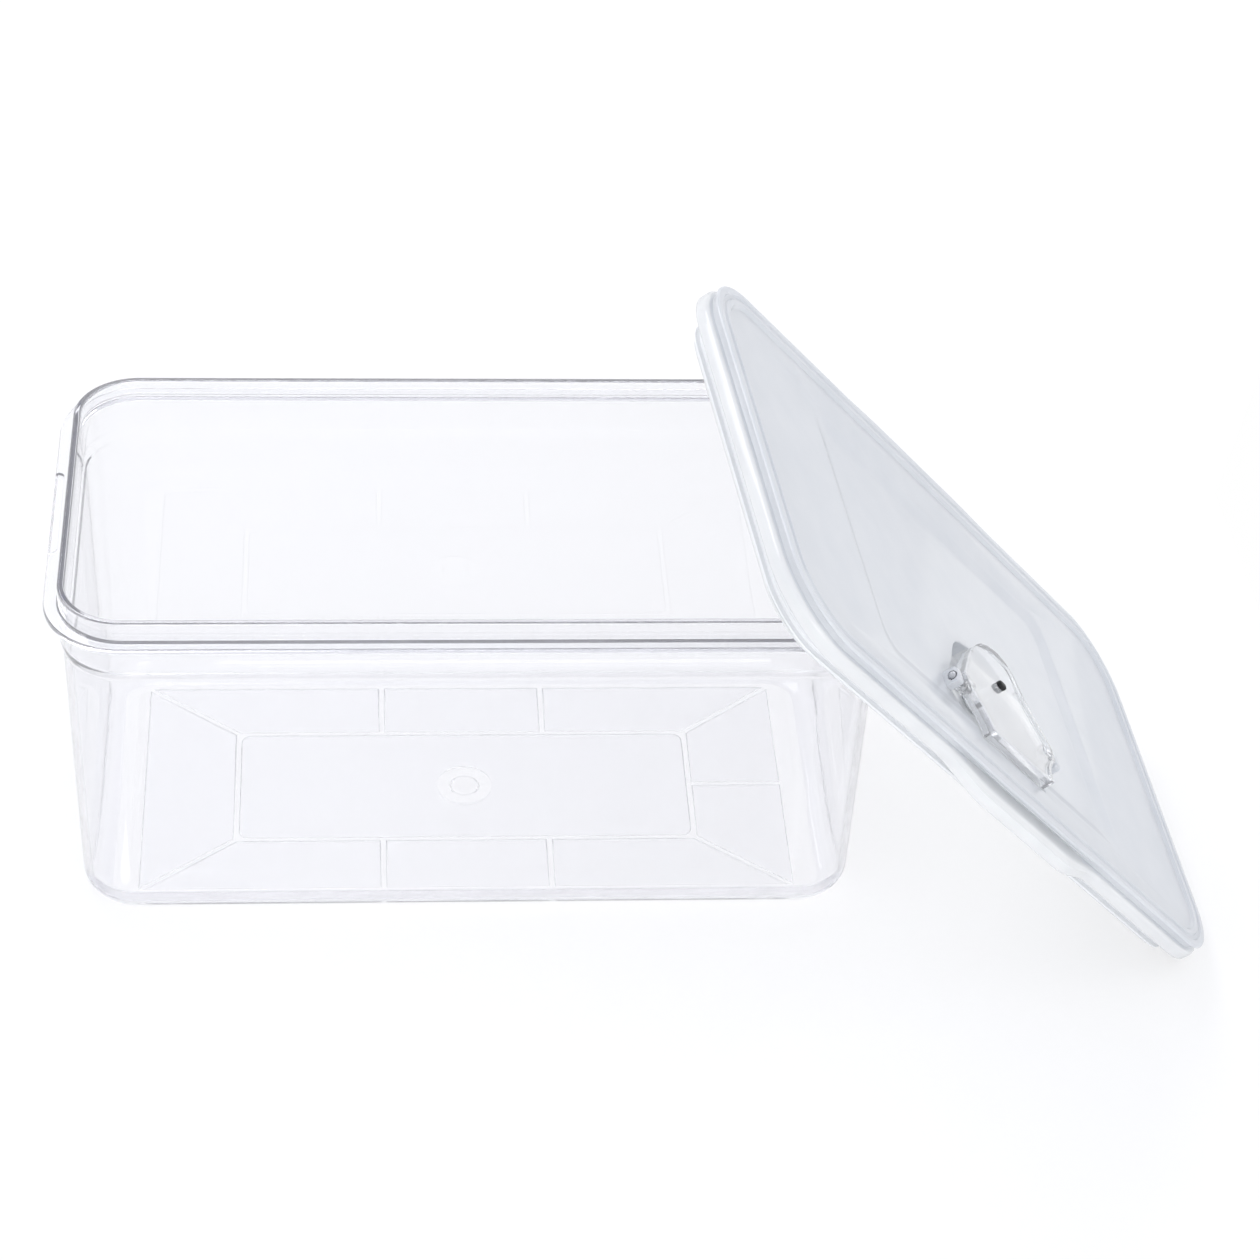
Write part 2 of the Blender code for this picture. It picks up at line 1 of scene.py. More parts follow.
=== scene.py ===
# %% [markdown]
# # A clear food box with its lid leaning on it
# The box is a rectangular tub, moulded in clear SAN, and a lid moulded in milky
# polypropylene. A clear lever on the lid lifts a small plug, which lets air into the
# box again. Here the lid is off: one of its corners stands on the table and its inner
# wall rests on the rim of the tub.
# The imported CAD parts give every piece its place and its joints. This lesson dresses
# them: each rigid piece is modelled again, finer, where the CAD part lies.

from math import ceil, cos, pi, radians, sin, tan

import bmesh
import bpy
from mathutils import Matrix, Vector


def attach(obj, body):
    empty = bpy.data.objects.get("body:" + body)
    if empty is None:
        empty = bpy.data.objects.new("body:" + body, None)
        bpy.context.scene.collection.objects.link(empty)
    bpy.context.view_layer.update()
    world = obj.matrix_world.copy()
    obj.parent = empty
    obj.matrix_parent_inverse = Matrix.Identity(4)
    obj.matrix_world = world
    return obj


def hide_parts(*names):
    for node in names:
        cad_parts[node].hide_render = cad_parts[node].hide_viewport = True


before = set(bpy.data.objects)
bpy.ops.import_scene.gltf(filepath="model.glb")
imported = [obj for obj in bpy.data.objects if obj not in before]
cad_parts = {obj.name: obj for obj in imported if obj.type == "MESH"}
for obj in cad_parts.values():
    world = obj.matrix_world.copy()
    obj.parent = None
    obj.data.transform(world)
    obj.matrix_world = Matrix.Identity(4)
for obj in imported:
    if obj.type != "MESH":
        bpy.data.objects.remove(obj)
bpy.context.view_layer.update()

# %% [markdown]
# ## Small helpers
# Blender's edit mode acts on whatever is selected, so a script that models by hand
# needs two habits: start with nothing selected, and pick the vertices, edges or faces
# by where they are. These helpers do only that.

# %% Habits of edit mode
MM = 0.001


def nothing_selected():
    if bpy.context.object and bpy.context.object.mode != "OBJECT":
        bpy.ops.object.mode_set(mode="OBJECT")
    bpy.ops.object.select_all(action="DESELECT")


def open_piece(piece):
    nothing_selected()
    piece.select_set(True)
    bpy.context.view_layer.objects.active = piece
    bpy.ops.object.mode_set(mode="EDIT")


def close_piece():
    bpy.ops.object.mode_set(mode="OBJECT")
    return bpy.context.object


def pick(kind, test):
    """Selects the verts, edges or faces of the open piece that the test accepts."""
    modes = {"verts": "VERT", "edges": "EDGE", "faces": "FACE"}
    bpy.ops.mesh.select_mode(type=modes[kind])
    bpy.ops.mesh.select_all(action="DESELECT")
    mesh = bmesh.from_edit_mesh(bpy.context.object.data)
    mesh.normal_update()
    found = [item for item in getattr(mesh, kind) if test(item)]
    for item in found:
        item.select_set(True)
    mesh.select_flush_mode()
    bmesh.update_edit_mesh(bpy.context.object.data)
    return len(found)


def named(name):
    piece = bpy.context.object
    piece.name = name
    piece.data.name = name
    return piece


# %% [markdown]
# ## A section drawn as a line
# The wall of the tub, the rim of the lid and the gasket all keep one section all the
# way round. The quickest way to such a shape is to draw the section once, as a line
# of points, and to pull it round the corners. Moulded plastic has no knife edges, so
# every corner of the section gets its own small radius first.

# %% Draw a section
def soft_line(points, degrees=16):
    """Points of a line with a radius at each corner, from (x, z, radius) in millimetres."""
    line = [Vector(points[0][:2])]
    for before, here, after in zip(points, points[1:], points[2:]):
        corner = Vector(here[:2])
        back = (Vector(before[:2]) - corner).normalized()
        ahead = (Vector(after[:2]) - corner).normalized()
        opening = back.angle(ahead)
        radius = here[2]
        if radius <= 0 or opening > radians(179):
            line.append(corner)
            continue
        reach = radius / tan(opening / 2)
        centre = corner + (back + ahead).normalized() * (radius / sin(opening / 2))
        start = corner + back * reach - centre
        turn = start.angle_signed(corner + ahead * reach - centre)
        steps = max(2, ceil(abs(turn) / radians(degrees)))
        for step in range(steps + 1):
            spun = Matrix.Rotation(-turn * step / steps, 2) @ start
            line.append(centre + spun)
    line.append(Vector(points[-1][:2]))
    return line


def draw_line(name, points):
    """A line of vertices, drawn by extruding one vertex from point to point (metres)."""
    nothing_selected()
    bpy.ops.mesh.primitive_plane_add(size=MM)
    named(name)
    bpy.ops.object.mode_set(mode="EDIT")
    bpy.ops.mesh.select_mode(type="VERT")
    bpy.ops.mesh.select_all(action="SELECT")
    bpy.ops.mesh.merge(type="CENTER")
    bpy.ops.transform.translate(value=points[0])
    for last, point in zip(points, points[1:]):
        bpy.ops.mesh.extrude_vertices_move(TRANSFORM_OT_translate={"value": point - last})
    bpy.ops.mesh.select_all(action="SELECT")


# %% [markdown]
# ## Pull the section round a rounded rectangle
# A lathe turns a section through a full circle. Here it turns through a quarter at
# each corner and is pulled straight along each side, like dough through a bent
# cutter. Spin and extrude do exactly that, and the wall keeps its true thickness in
# the corners, which scaling a ring would not.

# %% Sweep the section
CORNER_STEPS = 20


def sweep(half_x, half_y, radius, stops):
    """Pulls the selected line round; the long sides get points at the stops too."""
    straight_x = half_x - radius
    straight_y = half_y - radius
    sides = [
        ((1, 1), (-1, 0), straight_x, stops),
        ((-1, 1), (0, -1), straight_y, ()),
        ((-1, -1), (1, 0), straight_x, stops),
        ((1, -1), (0, 1), straight_y, ()),
    ]
    for corner, way, reach, on_side in sides:
        centre = (corner[0] * straight_x, corner[1] * straight_y, 0)
        bpy.ops.mesh.spin(steps=CORNER_STEPS, angle=-pi / 2, center=centre, axis=(0, 0, 1))
        places = [-reach, *on_side, reach]
        for last, place in zip(places, places[1:]):
            pull = ((place - last) * way[0], (place - last) * way[1], 0)
            bpy.ops.mesh.extrude_region_move(TRANSFORM_OT_translate={"value": pull})
    bpy.ops.mesh.select_all(action="SELECT")
    bpy.ops.mesh.remove_doubles(threshold=MM / 100)


def section_ring(name, section, half_x, half_y, radius, stops=()):
    """A swept wall from a section of (inset, height) points in millimetres."""
    start = half_y - radius
    points = [Vector((half_x - p.x * MM, start, p.y * MM)) for p in section]
    draw_line(name, points)
    sweep(half_x, half_y, radius, stops)
    return bpy.context.object


def close_ends():
    """Fills the open rims with one flat face each."""
    while pick("edges", lambda e: e.is_boundary):
        mesh = bmesh.from_edit_mesh(bpy.context.object.data)
        rim = [e for e in mesh.edges if e.is_boundary]
        height = rim[0].verts[0].co.z
        pick("edges", lambda e: e.is_boundary and abs(e.verts[0].co.z - height) < MM / 20)
        bpy.ops.mesh.edge_face_add()
    bpy.ops.mesh.select_all(action="SELECT")
    bpy.ops.mesh.normals_make_consistent(inside=False)


# %% [markdown]
# ## Finishing steps shared by the pieces
# A cutter is a second mesh that a Boolean modifier takes away or adds. Each modifier
# is applied at once, so that the piece is plain mesh when it is handed on. Weighted
# normals keep broad flats flat beside their rounded edges, and in clear plastic that
# matters: a bent normal bends everything that is seen through it.

# %% Cut, join, shade and place
FLAT_WEIGHT = 80


def combine(piece, other, operation):
    """Cuts other away from the piece or joins it, and removes other."""
    nothing_selected()
    piece.select_set(True)
    bpy.context.view_layer.objects.active = piece
    step = piece.modifiers.new("step", "BOOLEAN")
    step.operation = operation
    step.solver = "EXACT"
    step.object = other
    bpy.ops.object.modifier_apply(modifier=step.name)
    print(operation.lower(), other.name, "->", len(piece.data.polygons), "faces")
    bpy.data.objects.remove(other, do_unlink=True)
    return piece


def smooth(piece, degrees=32):
    """Merges the specks that the cuts leave behind, then shades the piece."""
    open_piece(piece)
    bpy.ops.mesh.select_all(action="SELECT")
    bpy.ops.mesh.remove_doubles(threshold=MM / 300)
    bpy.ops.mesh.dissolve_degenerate(threshold=MM / 500)
    close_piece()
    bpy.ops.object.shade_smooth_by_angle(angle=radians(degrees))
    step = piece.modifiers.new("flats", "WEIGHTED_NORMAL")
    step.keep_sharp = True
    step.weight = FLAT_WEIGHT
    bpy.ops.object.modifier_apply(modifier=step.name)
    count = sum(len(face.vertices) - 2 for face in piece.data.polygons)
    print(piece.name, "has", count, "triangles")
    return piece


def set_down(piece, place=Matrix.Identity(4)):
    """Moves the mesh to its place; the object itself stays at the origin, unturned."""
    piece.data.transform(piece.matrix_world)
    piece.matrix_world = Matrix.Identity(4)
    piece.data.transform(place)
    return piece


# %% [markdown]
# ## The tub
# A SAN tub comes out of a two-part steel mould. Its walls lean out a little, so that
# it slips off the core, and the upright lip, the flange under it and the soft
# shoulder below are all part of the same section. It could be made from a cube with
# bevels, but the rim has too many small turns for that, so it is drawn and swept.

# %% Tub wall and floor
TUB_HALF_X = 125 * MM
TUB_HALF_Y = 63 * MM
TUB_CORNER = 20 * MM
TUB_HEIGHT = 121.5
FLOOR = 3.0

tub_section = [
    (14.0, 0.0, 0),
    (2.70, 0.0, 8.6),  # round base edge
    (0.80, 98.9, 4),  # shoulder
    (0.0, 101.9, 4),
    (0.0, 112.9, 0.5),
    (-4.4, 112.9, 0.8),  # flange
    (-4.4, 115.1, 0.8),
    (0.0, 115.1, 0.5),
    (0.0, TUB_HEIGHT, 0.8),  # lip
    (2.4, TUB_HEIGHT, 0.8),
    (2.4, 101.9, 4),
    (3.2, 98.9, 4),
    (5.04, FLOOR, 8.0),
    (14.0, FLOOR, 0),
]
tub_line = soft_line(tub_section)
tub = section_ring("tub_body", tub_line, TUB_HALF_X, TUB_HALF_Y, TUB_CORNER)
close_ends()
close_piece()
print("tub:", len(tub_line), "points in the section,", len(tub.data.polygons), "faces")

# %% [markdown]
# ## Ribs under the floor
# Under the floor the mould leaves shallow pockets, and what stays between them is a
# net of thin ribs: a rectangle in the middle, a line to each corner, two across each
# long side and one at the right end. The pockets are made as one flat sheet that is
# cut into cells; each cell is then shrunk by half a rib and pulled into a block. They
# are a little deeper than usual, so that the ribs show through the floor.

# %% Cut the pockets
RIB = 1.5 * MM
FRAME_X = 74.7 * MM
FRAME_Y = 26.0 * MM
CROSS_RIB = 27.0 * MM
POCKET_X = 105.97 * MM
POCKET_Y = 50.17 * MM
POCKET = 1.3 * MM
BELOW = 0.4 * MM
FIELD_CORNER = 3.5 * MM
POCKET_EDGE = 0.6 * MM

nothing_selected()
bpy.ops.mesh.primitive_plane_add(size=2, location=(0, 0, -BELOW))
pockets = named("pockets")
bpy.ops.object.mode_set(mode="EDIT")
bpy.ops.mesh.select_all(action="SELECT")
bpy.ops.transform.resize(value=(POCKET_X, POCKET_Y, 1))
bpy.ops.mesh.inset(thickness=MM, depth=0)
share = (FRAME_X / (POCKET_X - MM), FRAME_Y / (POCKET_Y - MM), 1)
bpy.ops.transform.resize(value=share, center_override=(0, 0, 0))
for side in (-1, 1):
    for place in (-CROSS_RIB, CROSS_RIB):
        pick("faces", lambda f: f.calc_center_median().y * side > FRAME_Y)
        bpy.ops.mesh.bisect(plane_co=(place, 0, 0), plane_no=(1, 0, 0))
pick("faces", lambda f: f.calc_center_median().x > FRAME_X)
bpy.ops.mesh.bisect(plane_co=(0, 0, 0), plane_no=(0, 1, 0))
bpy.ops.mesh.select_all(action="SELECT")
bpy.ops.mesh.inset(thickness=RIB / 2, use_individual=True, use_even_offset=True)
bpy.ops.mesh.select_all(action="INVERT")
bpy.ops.mesh.delete(type="FACE")
reach = Vector((FRAME_X - RIB, FRAME_Y - RIB)).length
pick(
    "verts",
    lambda v: abs(v.co.x) < FRAME_X and abs(v.co.y) < FRAME_Y and v.co.xy.length > reach,
)
bpy.ops.mesh.bevel(offset=FIELD_CORNER, segments=6, affect="VERTICES")
bpy.ops.mesh.select_all(action="SELECT")
bpy.ops.mesh.extrude_region_move(TRANSFORM_OT_translate={"value": (0, 0, POCKET + BELOW)})
bpy.ops.mesh.select_all(action="SELECT")
bpy.ops.mesh.normals_make_consistent(inside=False)
top = POCKET - 0.01 * MM
pick("edges", lambda e: all(v.co.z > top for v in e.verts))
bpy.ops.mesh.bevel(offset=POCKET_EDGE, segments=4, affect="EDGES")
close_piece()
print("pockets:", len(pockets.data.polygons), "faces")
tub = combine(tub, pockets, "DIFFERENCE")

# %% [markdown]
# The plastic entered the mould through a round boss in the middle of the floor. It is
# a low disc with one fine ring in it; the mark that such a disc often carries is left
# out. It could be drawn as a face with rings cut in, but a turned button is simpler.

# %% The round boss
BOSS_RADIUS = 9.1 * MM
BOSS_DEPTH = 1.6 * MM
BOSS_INSETS = (0.4, 3.7, 0.35, 0.35)
RING_RADIUS = 4.65 * MM
RING_DEPTH = 0.45 * MM

nothing_selected()
bpy.ops.mesh.primitive_cylinder_add(
    vertices=64, radius=BOSS_RADIUS, depth=BOSS_DEPTH, location=(0, 0, 0.8 * MM)
)
boss = named("boss")
open_piece(boss)
pick("faces", lambda f: f.normal.z < -0.9)
for width in BOSS_INSETS:
    bpy.ops.mesh.inset(thickness=width * MM)
pick("verts", lambda v: v.co.z < 0 and abs(v.co.xy.length - RING_RADIUS) < 0.1 * MM)
bpy.ops.transform.translate(value=(0, 0, RING_DEPTH))
close_piece()
tub = combine(tub, set_down(boss), "UNION")

# %% [markdown]
# Each short side of the flange has a long shallow notch, where a fingertip finds the
# edge. It is a block with round ends that is sunk into the top of the flange.

# %% Notches in the flange
NOTCH_X = 128.4 * MM
FLANGE_TOP = 115.1 * MM
NOTCH_SIZE = (3.6 * MM, 40 * MM, 2 * MM)

for side in (-1, 1):
    nothing_selected()
    bpy.ops.mesh.primitive_cube_add(size=1, location=(side * NOTCH_X, 0, FLANGE_TOP))
    notch = named("notch")
    open_piece(notch)
    bpy.ops.mesh.select_all(action="SELECT")
    bpy.ops.transform.resize(value=NOTCH_SIZE)
    pick("edges", lambda e: abs(e.verts[0].co.z - e.verts[1].co.z) > 0.5 * MM)
    bpy.ops.mesh.bevel(offset=1.7 * MM, segments=8, affect="EDGES")
    close_piece()
    tub = combine(tub, set_down(notch), "DIFFERENCE")
tub = smooth(tub)

# %% [markdown]
# ## The lid
# The lid is one moulding: a thin top with a sunk panel, a skirt that hangs outside
# the lip of the tub, and an inner wall that drops inside it and holds the gasket. It
# is drawn lying flat, with the origin in the middle of its top, and turned into its
# leaning place at the end. Its section starts under the top, goes down and up round
# the inner wall, out to the skirt, and back over the top to the edge of the panel.

# %% Lid rim
LID_HALF_X = 130 * MM
LID_HALF_Y = 68 * MM
LID_CORNER = 25 * MM
TAB_HALF = 49 * MM
TAB_EASE = 26 * MM
TAB_DEPTH = 6.5 * MM

lid_section = [
    (14.0, -2.7, 0),
    (11.4, -2.7, 0.8),
    (11.4, -14.3, 0.6),  # foot of the inner wall
    (8.8, -14.3, 0.6),
    (8.8, -13.6, 0),
    (10.0, -13.6, 0),  # groove for the gasket
    (10.0, -8.8, 0),
    (8.8, -8.8, 0),
    (8.8, -1.9, 0.6),  # channel for the lip of the tub
    (2.9, -1.9, 0.6),
    (2.9, -8.1, 0.5),
    (0.15, -8.1, 1.2),  # roll at the foot of the skirt
    (0.15, -3.7, 1.4),
    (2.3, -3.1, 0.3),  # groove above the roll
    (2.3, -1.4, 0.3),
    (0.7, -1.0, 0.3),
    (0.9, 0.0, 0.7),
    (3.2, 0.0, 0.3),
    (3.7, -0.6, 0.3),  # hollow between two fine ridges
    (4.9, -0.6, 0.3),
    (5.4, 0.0, 0.3),
    (7.0, 0.0, 0.4),
    (8.0, -1.0, 0.5),
    (14.0, -1.0, 0),
]
lid_line = soft_line(lid_section, 22)
stops = [TAB_HALF * (step / 12 - 1) for step in range(25)]
lid = section_ring("lid_body", lid_line, LID_HALF_X, LID_HALF_Y, LID_CORNER, stops)
print("lid section points:", len(lid_line))


# %% [markdown]
# A finger tab swells from the middle of each long side of the skirt. The points there
# are pushed outwards, most at the foot of the skirt and hardly at all at the top, so
# the tab grows out of the skirt without a seam. They are taken in bands of height.

# %% Finger tabs
TAB_BANDS = ((-9, -6), (-6, -4), (-4, -3), (-3, -2), (-2, -1), (-1, -0.1))
TAB_FULL = 5.5 * MM
SKIRT_WALL = 2.1 * MM


def tab_shape(x):
    """0 at the ends of the tab, 1 along its middle."""
    rise = min(1.0, max(0.0, (TAB_HALF - abs(x)) / TAB_EASE))
    return sin(pi / 2 * rise) ** 2


def tab_share(z):
    """How much of the tab's depth a point at this height gets."""
    return min(1.0, max(0.0, -z / TAB_FULL)) ** 0.8


moved = 0
for side in (-1, 1):
    for stop in stops[1:-1]:
        for low, high in TAB_BANDS:
            reach = TAB_DEPTH * tab_shape(stop) * tab_share((low + high) / 2 * MM)
            found = pick(
                "verts",
                lambda v: abs(v.co.x - stop) < MM / 10
                and low * MM < v.co.z <= high * MM
                and v.co.y * side > LID_HALF_Y - SKIRT_WALL,
            )
            if found:
                bpy.ops.transform.translate(value=(0, side * reach, 0))
                moved += found
print("points moved for the tabs:", moved)

# %% [markdown]
# From the frame the top slopes gently to a sunk panel. The inner rims of the section
# are extruded and scaled to the panel's outline in small steps, which round the ends
# of each slope, above and below, and then the two faces are filled.

# %% Slope and panel
def step_in(height, from_half, to_half, drop):
    """Extrudes the rim at this height and scales it to a smaller half length and width."""
    close_to = height * MM
    pick("edges", lambda e: e.is_boundary and abs(e.verts[0].co.z - close_to) < MM / 20)
    bpy.ops.mesh.extrude_region_move(TRANSFORM_OT_translate={"value": (0, 0, drop * MM)})
    size = (to_half[0] / from_half[0], to_half[1] / from_half[1], 1)
    bpy.ops.transform.resize(value=size, center_override=(0, 0, 0))


PANEL_RINGS = [
    ((116.0, 54.0), (76.0, 49.1), -0.85),
    ((76.0, 49.1), (74.2, 47.3), -0.14),
    ((74.2, 47.3), (73.2, 46.3), -0.18),
    ((73.2, 46.3), (69.2, 42.3), -1.02),
    ((69.2, 42.3), (68.2, 41.3), -0.17),
    ((68.2, 41.3), (66.6, 39.7), -0.04),
]
for start in (-1.0, -2.7):
    height = start
    for from_half, to_half, drop in PANEL_RINGS:
        step_in(height, from_half, to_half, drop)
        height += drop
close_ends()
close_piece()
print("lid:", len(lid.data.vertices), "points")

# %% [markdown]
# Off the tub the lid leans: it is turned a little about its own normal, tipped up and
# moved to the place that the CAD part has. Everything that sits on the lid is drawn
# flat as well and takes the same turn, so the numbers stay simple.

# %% Lid in its place
LEAN_ANGLE = radians(52.4)
LEAN_TURN = radians(14.4)
LID_ORIGIN = Vector((150.965, -57.9, 114.099)) * MM
LEAN = (
    Matrix.Translation(LID_ORIGIN)
    @ Matrix.Rotation(LEAN_ANGLE, 4, "Y")
    @ Matrix.Rotation(LEAN_TURN, 4, "Z")
)
print("lid normal:", (LEAN.to_3x3() @ Vector((0, 0, 1))).to_tuple(4))

# %% [markdown]
# ## The lever's outline
# Seen from above the lever is straight at its near end, sweeps out in a soft S to two
# ears on the hinge line, and runs in again to its round lifting end. The same outline,
# a little grown, gives the well that the lever lies in, so the gap stays even.

# %% Outline of lever and well
AXIS_Y = -35.0
AXIS_Z = -0.6
NEAR_END = -50.0
FAR_END = -11.0
SCOOP_START = -20.0
NECK_END = -36
NECK_SHARE = 0.7
WIDTHS = [
    (-50.0, 18.9),
    (-48.0, 19.1),
    (-45.5, 19.8),
    (-43.0, 21.3),
    (-40.5, 23.7),
    (-38.5, 26.0),
    (-37.0, 27.5),
    (-35.5, 28.0),
    (-32.6, 28.0),
    (-30.5, 26.4),
    (-26.0, 22.8),
    (-21.0, 18.8),
    (-17.0, 15.4),
    (-14.5, 12.6),
    (-12.7, 9.6),
    (-11.6, 6.0),
    (-11.0, 0.6),
]


def half_width(y):
    """Half the lever's width at a distance along it, in millimetres."""
    for (y0, w0), (y1, w1) in zip(WIDTHS, WIDTHS[1:]):
        if y0 <= y <= y1:
            share = (y - y0) / (y1 - y0)
            return w0 + (w1 - w0) * share
    return WIDTHS[0][1] if y < NEAR_END else WIDTHS[-1][1]


def outline(grow, scoop):
    """Points round the lever, grown all round and lengthened at its lifting end (mm)."""
    right = [(w + grow * (NECK_SHARE if y < NECK_END else 1.0), y) for y, w in WIDTHS]
    right[0] = (right[0][0], NEAR_END - grow)
    line = []
    for w, y in right:
        share = max(0.0, (y - SCOOP_START) / (FAR_END - SCOOP_START))
        line.append(Vector((w, y + (grow + scoop) * share)))
    mirrored = [Vector((-p.x, p.y)) for p in reversed(line)]
    return line + mirrored


def block(name, points, low, high):
    """A block with a drawn outline: a line of vertices, closed, filled and extruded."""
    draw_line(name, [Vector((p.x * MM, p.y * MM, low * MM)) for p in points])
    bpy.ops.mesh.edge_face_add()
    bpy.ops.mesh.select_all(action="SELECT")
    rise = {"value": (0, 0, (high - low) * MM)}
    bpy.ops.mesh.extrude_region_move(TRANSFORM_OT_translate=rise)
    bpy.ops.mesh.select_all(action="SELECT")
    bpy.ops.mesh.normals_make_consistent(inside=False)
    return close_piece()


# %% [markdown]
# ## The well
# The well hangs under the panel as a shallow cup with a 2 mm wall. Its far end runs
# out in a short scoop for a fingertip. A block under the slope of the panel closes
# the near end of the cup, where the cup alone would leave a thin slit. A small round
# vent goes through the floor, and the valve plug closes it.

# %% Sink the well
WELL_FLOOR = -9.6
WELL_GAP = 1.2
WELL_WALL = 2.0
SCOOP = 4.0
VALVE_Y = -23.0
END_LINE = [Vector(p) for p in ((21.1, -45.8), (21.1, -53.2), (-21.1, -53.2), (-21.1, -45.8))]

cup = block("well_cup", outline(WELL_GAP + WELL_WALL, SCOOP), WELL_FLOOR - WELL_WALL, -3.6)
open_piece(cup)
pick("edges", lambda e: all(v.co.z < (WELL_FLOOR - 1.9) * MM for v in e.verts))
bpy.ops.mesh.bevel(offset=1.2 * MM, segments=4, affect="EDGES")
close_piece()
cup = combine(cup, block("cup_end", END_LINE, -6.0, -2.6), "UNION")
lid = combine(lid, cup, "UNION")

hollow = block("well_hollow", outline(WELL_GAP, SCOOP), WELL_FLOOR, 6.0)
open_piece(hollow)
pick("edges", lambda e: all(v.co.z < (WELL_FLOOR + 0.1) * MM for v in e.verts))
bpy.ops.mesh.bevel(offset=1.0 * MM, segments=4, affect="EDGES")
close_piece()
lid = combine(lid, hollow, "DIFFERENCE")

nothing_selected()
bpy.ops.mesh.primitive_cylinder_add(
    vertices=32, radius=2 * MM, depth=6 * MM, location=(0, VALVE_Y * MM, (WELL_FLOOR - 1) * MM)
)
vent = set_down(named("vent"))
lid = combine(lid, vent, "DIFFERENCE")

# %% [markdown]
# Two small posts stand beside the well, on the hinge line. Each is a low block with a
# round head and a bore for a steel pin.

# %% Posts for the pins
POST_X = 31.0
POST_Z = -1.4
POST_SIZE = (3 * MM, 5.0 * MM, 5.8 * MM)

for side in (-1, 1):
    nothing_selected()
    place = Vector((side * POST_X, AXIS_Y, POST_Z)) * MM
    bpy.ops.mesh.primitive_cube_add(size=1, location=place)
    post = named("post")
    open_piece(post)
    bpy.ops.mesh.select_all(action="SELECT")
    bpy.ops.transform.resize(value=POST_SIZE)
    pick("edges", lambda e: all(v.co.z > 0 for v in e.verts))
    bpy.ops.mesh.bevel(offset=1.2 * MM, segments=5, affect="EDGES")
    close_piece()
    set_down(post)
    nothing_selected()
    bpy.ops.mesh.primitive_cylinder_add(
        vertices=32,
        radius=1.5 * MM,
        depth=5 * MM,
        location=Vector((side * POST_X, AXIS_Y, AXIS_Z)) * MM,
        rotation=(0, pi / 2, 0),
    )
    bore = set_down(named("bore"))
    post = combine(post, bore, "DIFFERENCE")
    lid = combine(lid, post, "UNION")

# %% [markdown]
# The rim of the well is rounded on the lid itself, once everything is cut. A Boolean
# leaves flat faces with many corners or a hole in them, and a bevel beside one makes
# spikes, so these faces are cut into triangles first.

# %% Round the rim of the well
WELL_RIM = 0.45 * MM

open_piece(lid)
print("many-sided faces:", pick("faces", lambda f: len(f.verts) > 8))
bpy.ops.mesh.quads_convert_to_tris(quad_method="BEAUTY", ngon_method="BEAUTY")
found = pick(
    "edges",
    lambda e: e.is_manifold
    and e.is_convex
    and e.calc_face_angle(0) > 1.0
    and all(-4.2 * MM < v.co.z < -0.9 * MM for v in e.verts)
    and all(abs(v.co.x) < 33 * MM and -54 * MM < v.co.y < MM for v in e.verts),
)
print("rim edges of the well:", found)
bpy.ops.mesh.bevel(offset=WELL_RIM, segments=3, affect="EDGES")
close_piece()

lid = smooth(lid)
set_down(lid, LEAN)

# %% [markdown]
# ## The gasket
# A soft silicone ring sits in a groove of the inner wall, with two thin lips that
# press on the lip of the tub. It is a closed section, swept like the wall.

# %% Gasket
gasket_section = [
    (9.7, -13.3, 0),
    (8.5, -13.3, 0.25),
    (7.0, -12.95, 0.2),
    (7.0, -12.35, 0.2),
    (8.4, -11.7, 0.25),
    (8.4, -10.75, 0.25),
    (7.0, -10.1, 0.2),
    (7.0, -9.5, 0.2),
    (8.5, -9.1, 0.25),
    (9.7, -9.1, 0),
    (9.7, -13.3, 0),
]
gasket_line = soft_line(gasket_section, 30)
gasket = section_ring("gasket_ring", gasket_line, LID_HALF_X, LID_HALF_Y, LID_CORNER)
bpy.ops.mesh.normals_make_consistent(inside=False)
close_piece()
smooth(gasket, 50)
set_down(gasket, LEAN)

# %% [markdown]
# ## The lever
# The lever is a clear plate that arches up at its lifting end. It starts as a flat
# grid; each row is scaled to the lever's width there, like lacing a form, and lifted
# to its height in the arch. A row that is done waits above the others, so that the
# next pick finds only its own row. Extruding the sheet gives the plate its thickness.

# %% Lever plate
PLATE_TOP = 2.1
PLATE = 1.7
RIM = 0.7
ARCH_START = -22.0
ARCH = 1.9
CROWDING = 0.35
WAITING = 10
ROWS = 52
COLUMNS = 26

nothing_selected()
bpy.ops.mesh.primitive_grid_add(x_subdivisions=COLUMNS, y_subdivisions=ROWS, size=2)
lever = named("lever_plate")
bpy.ops.object.mode_set(mode="EDIT")
bpy.ops.mesh.select_all(action="SELECT")
length = (FAR_END - NEAR_END) / 2
middle = (FAR_END + NEAR_END) / 2
bpy.ops.transform.resize(value=(MM, length * MM, MM))
bpy.ops.transform.translate(value=(0, middle * MM, (PLATE_TOP - RIM) * MM))


def row_place(row):
    """Rows crowd towards the round end, where the outline turns fastest."""
    share = row / ROWS
    even = 1 - CROWDING
    return NEAR_END + (FAR_END - NEAR_END) * (share * (2 - share) * CROWDING + share * even)


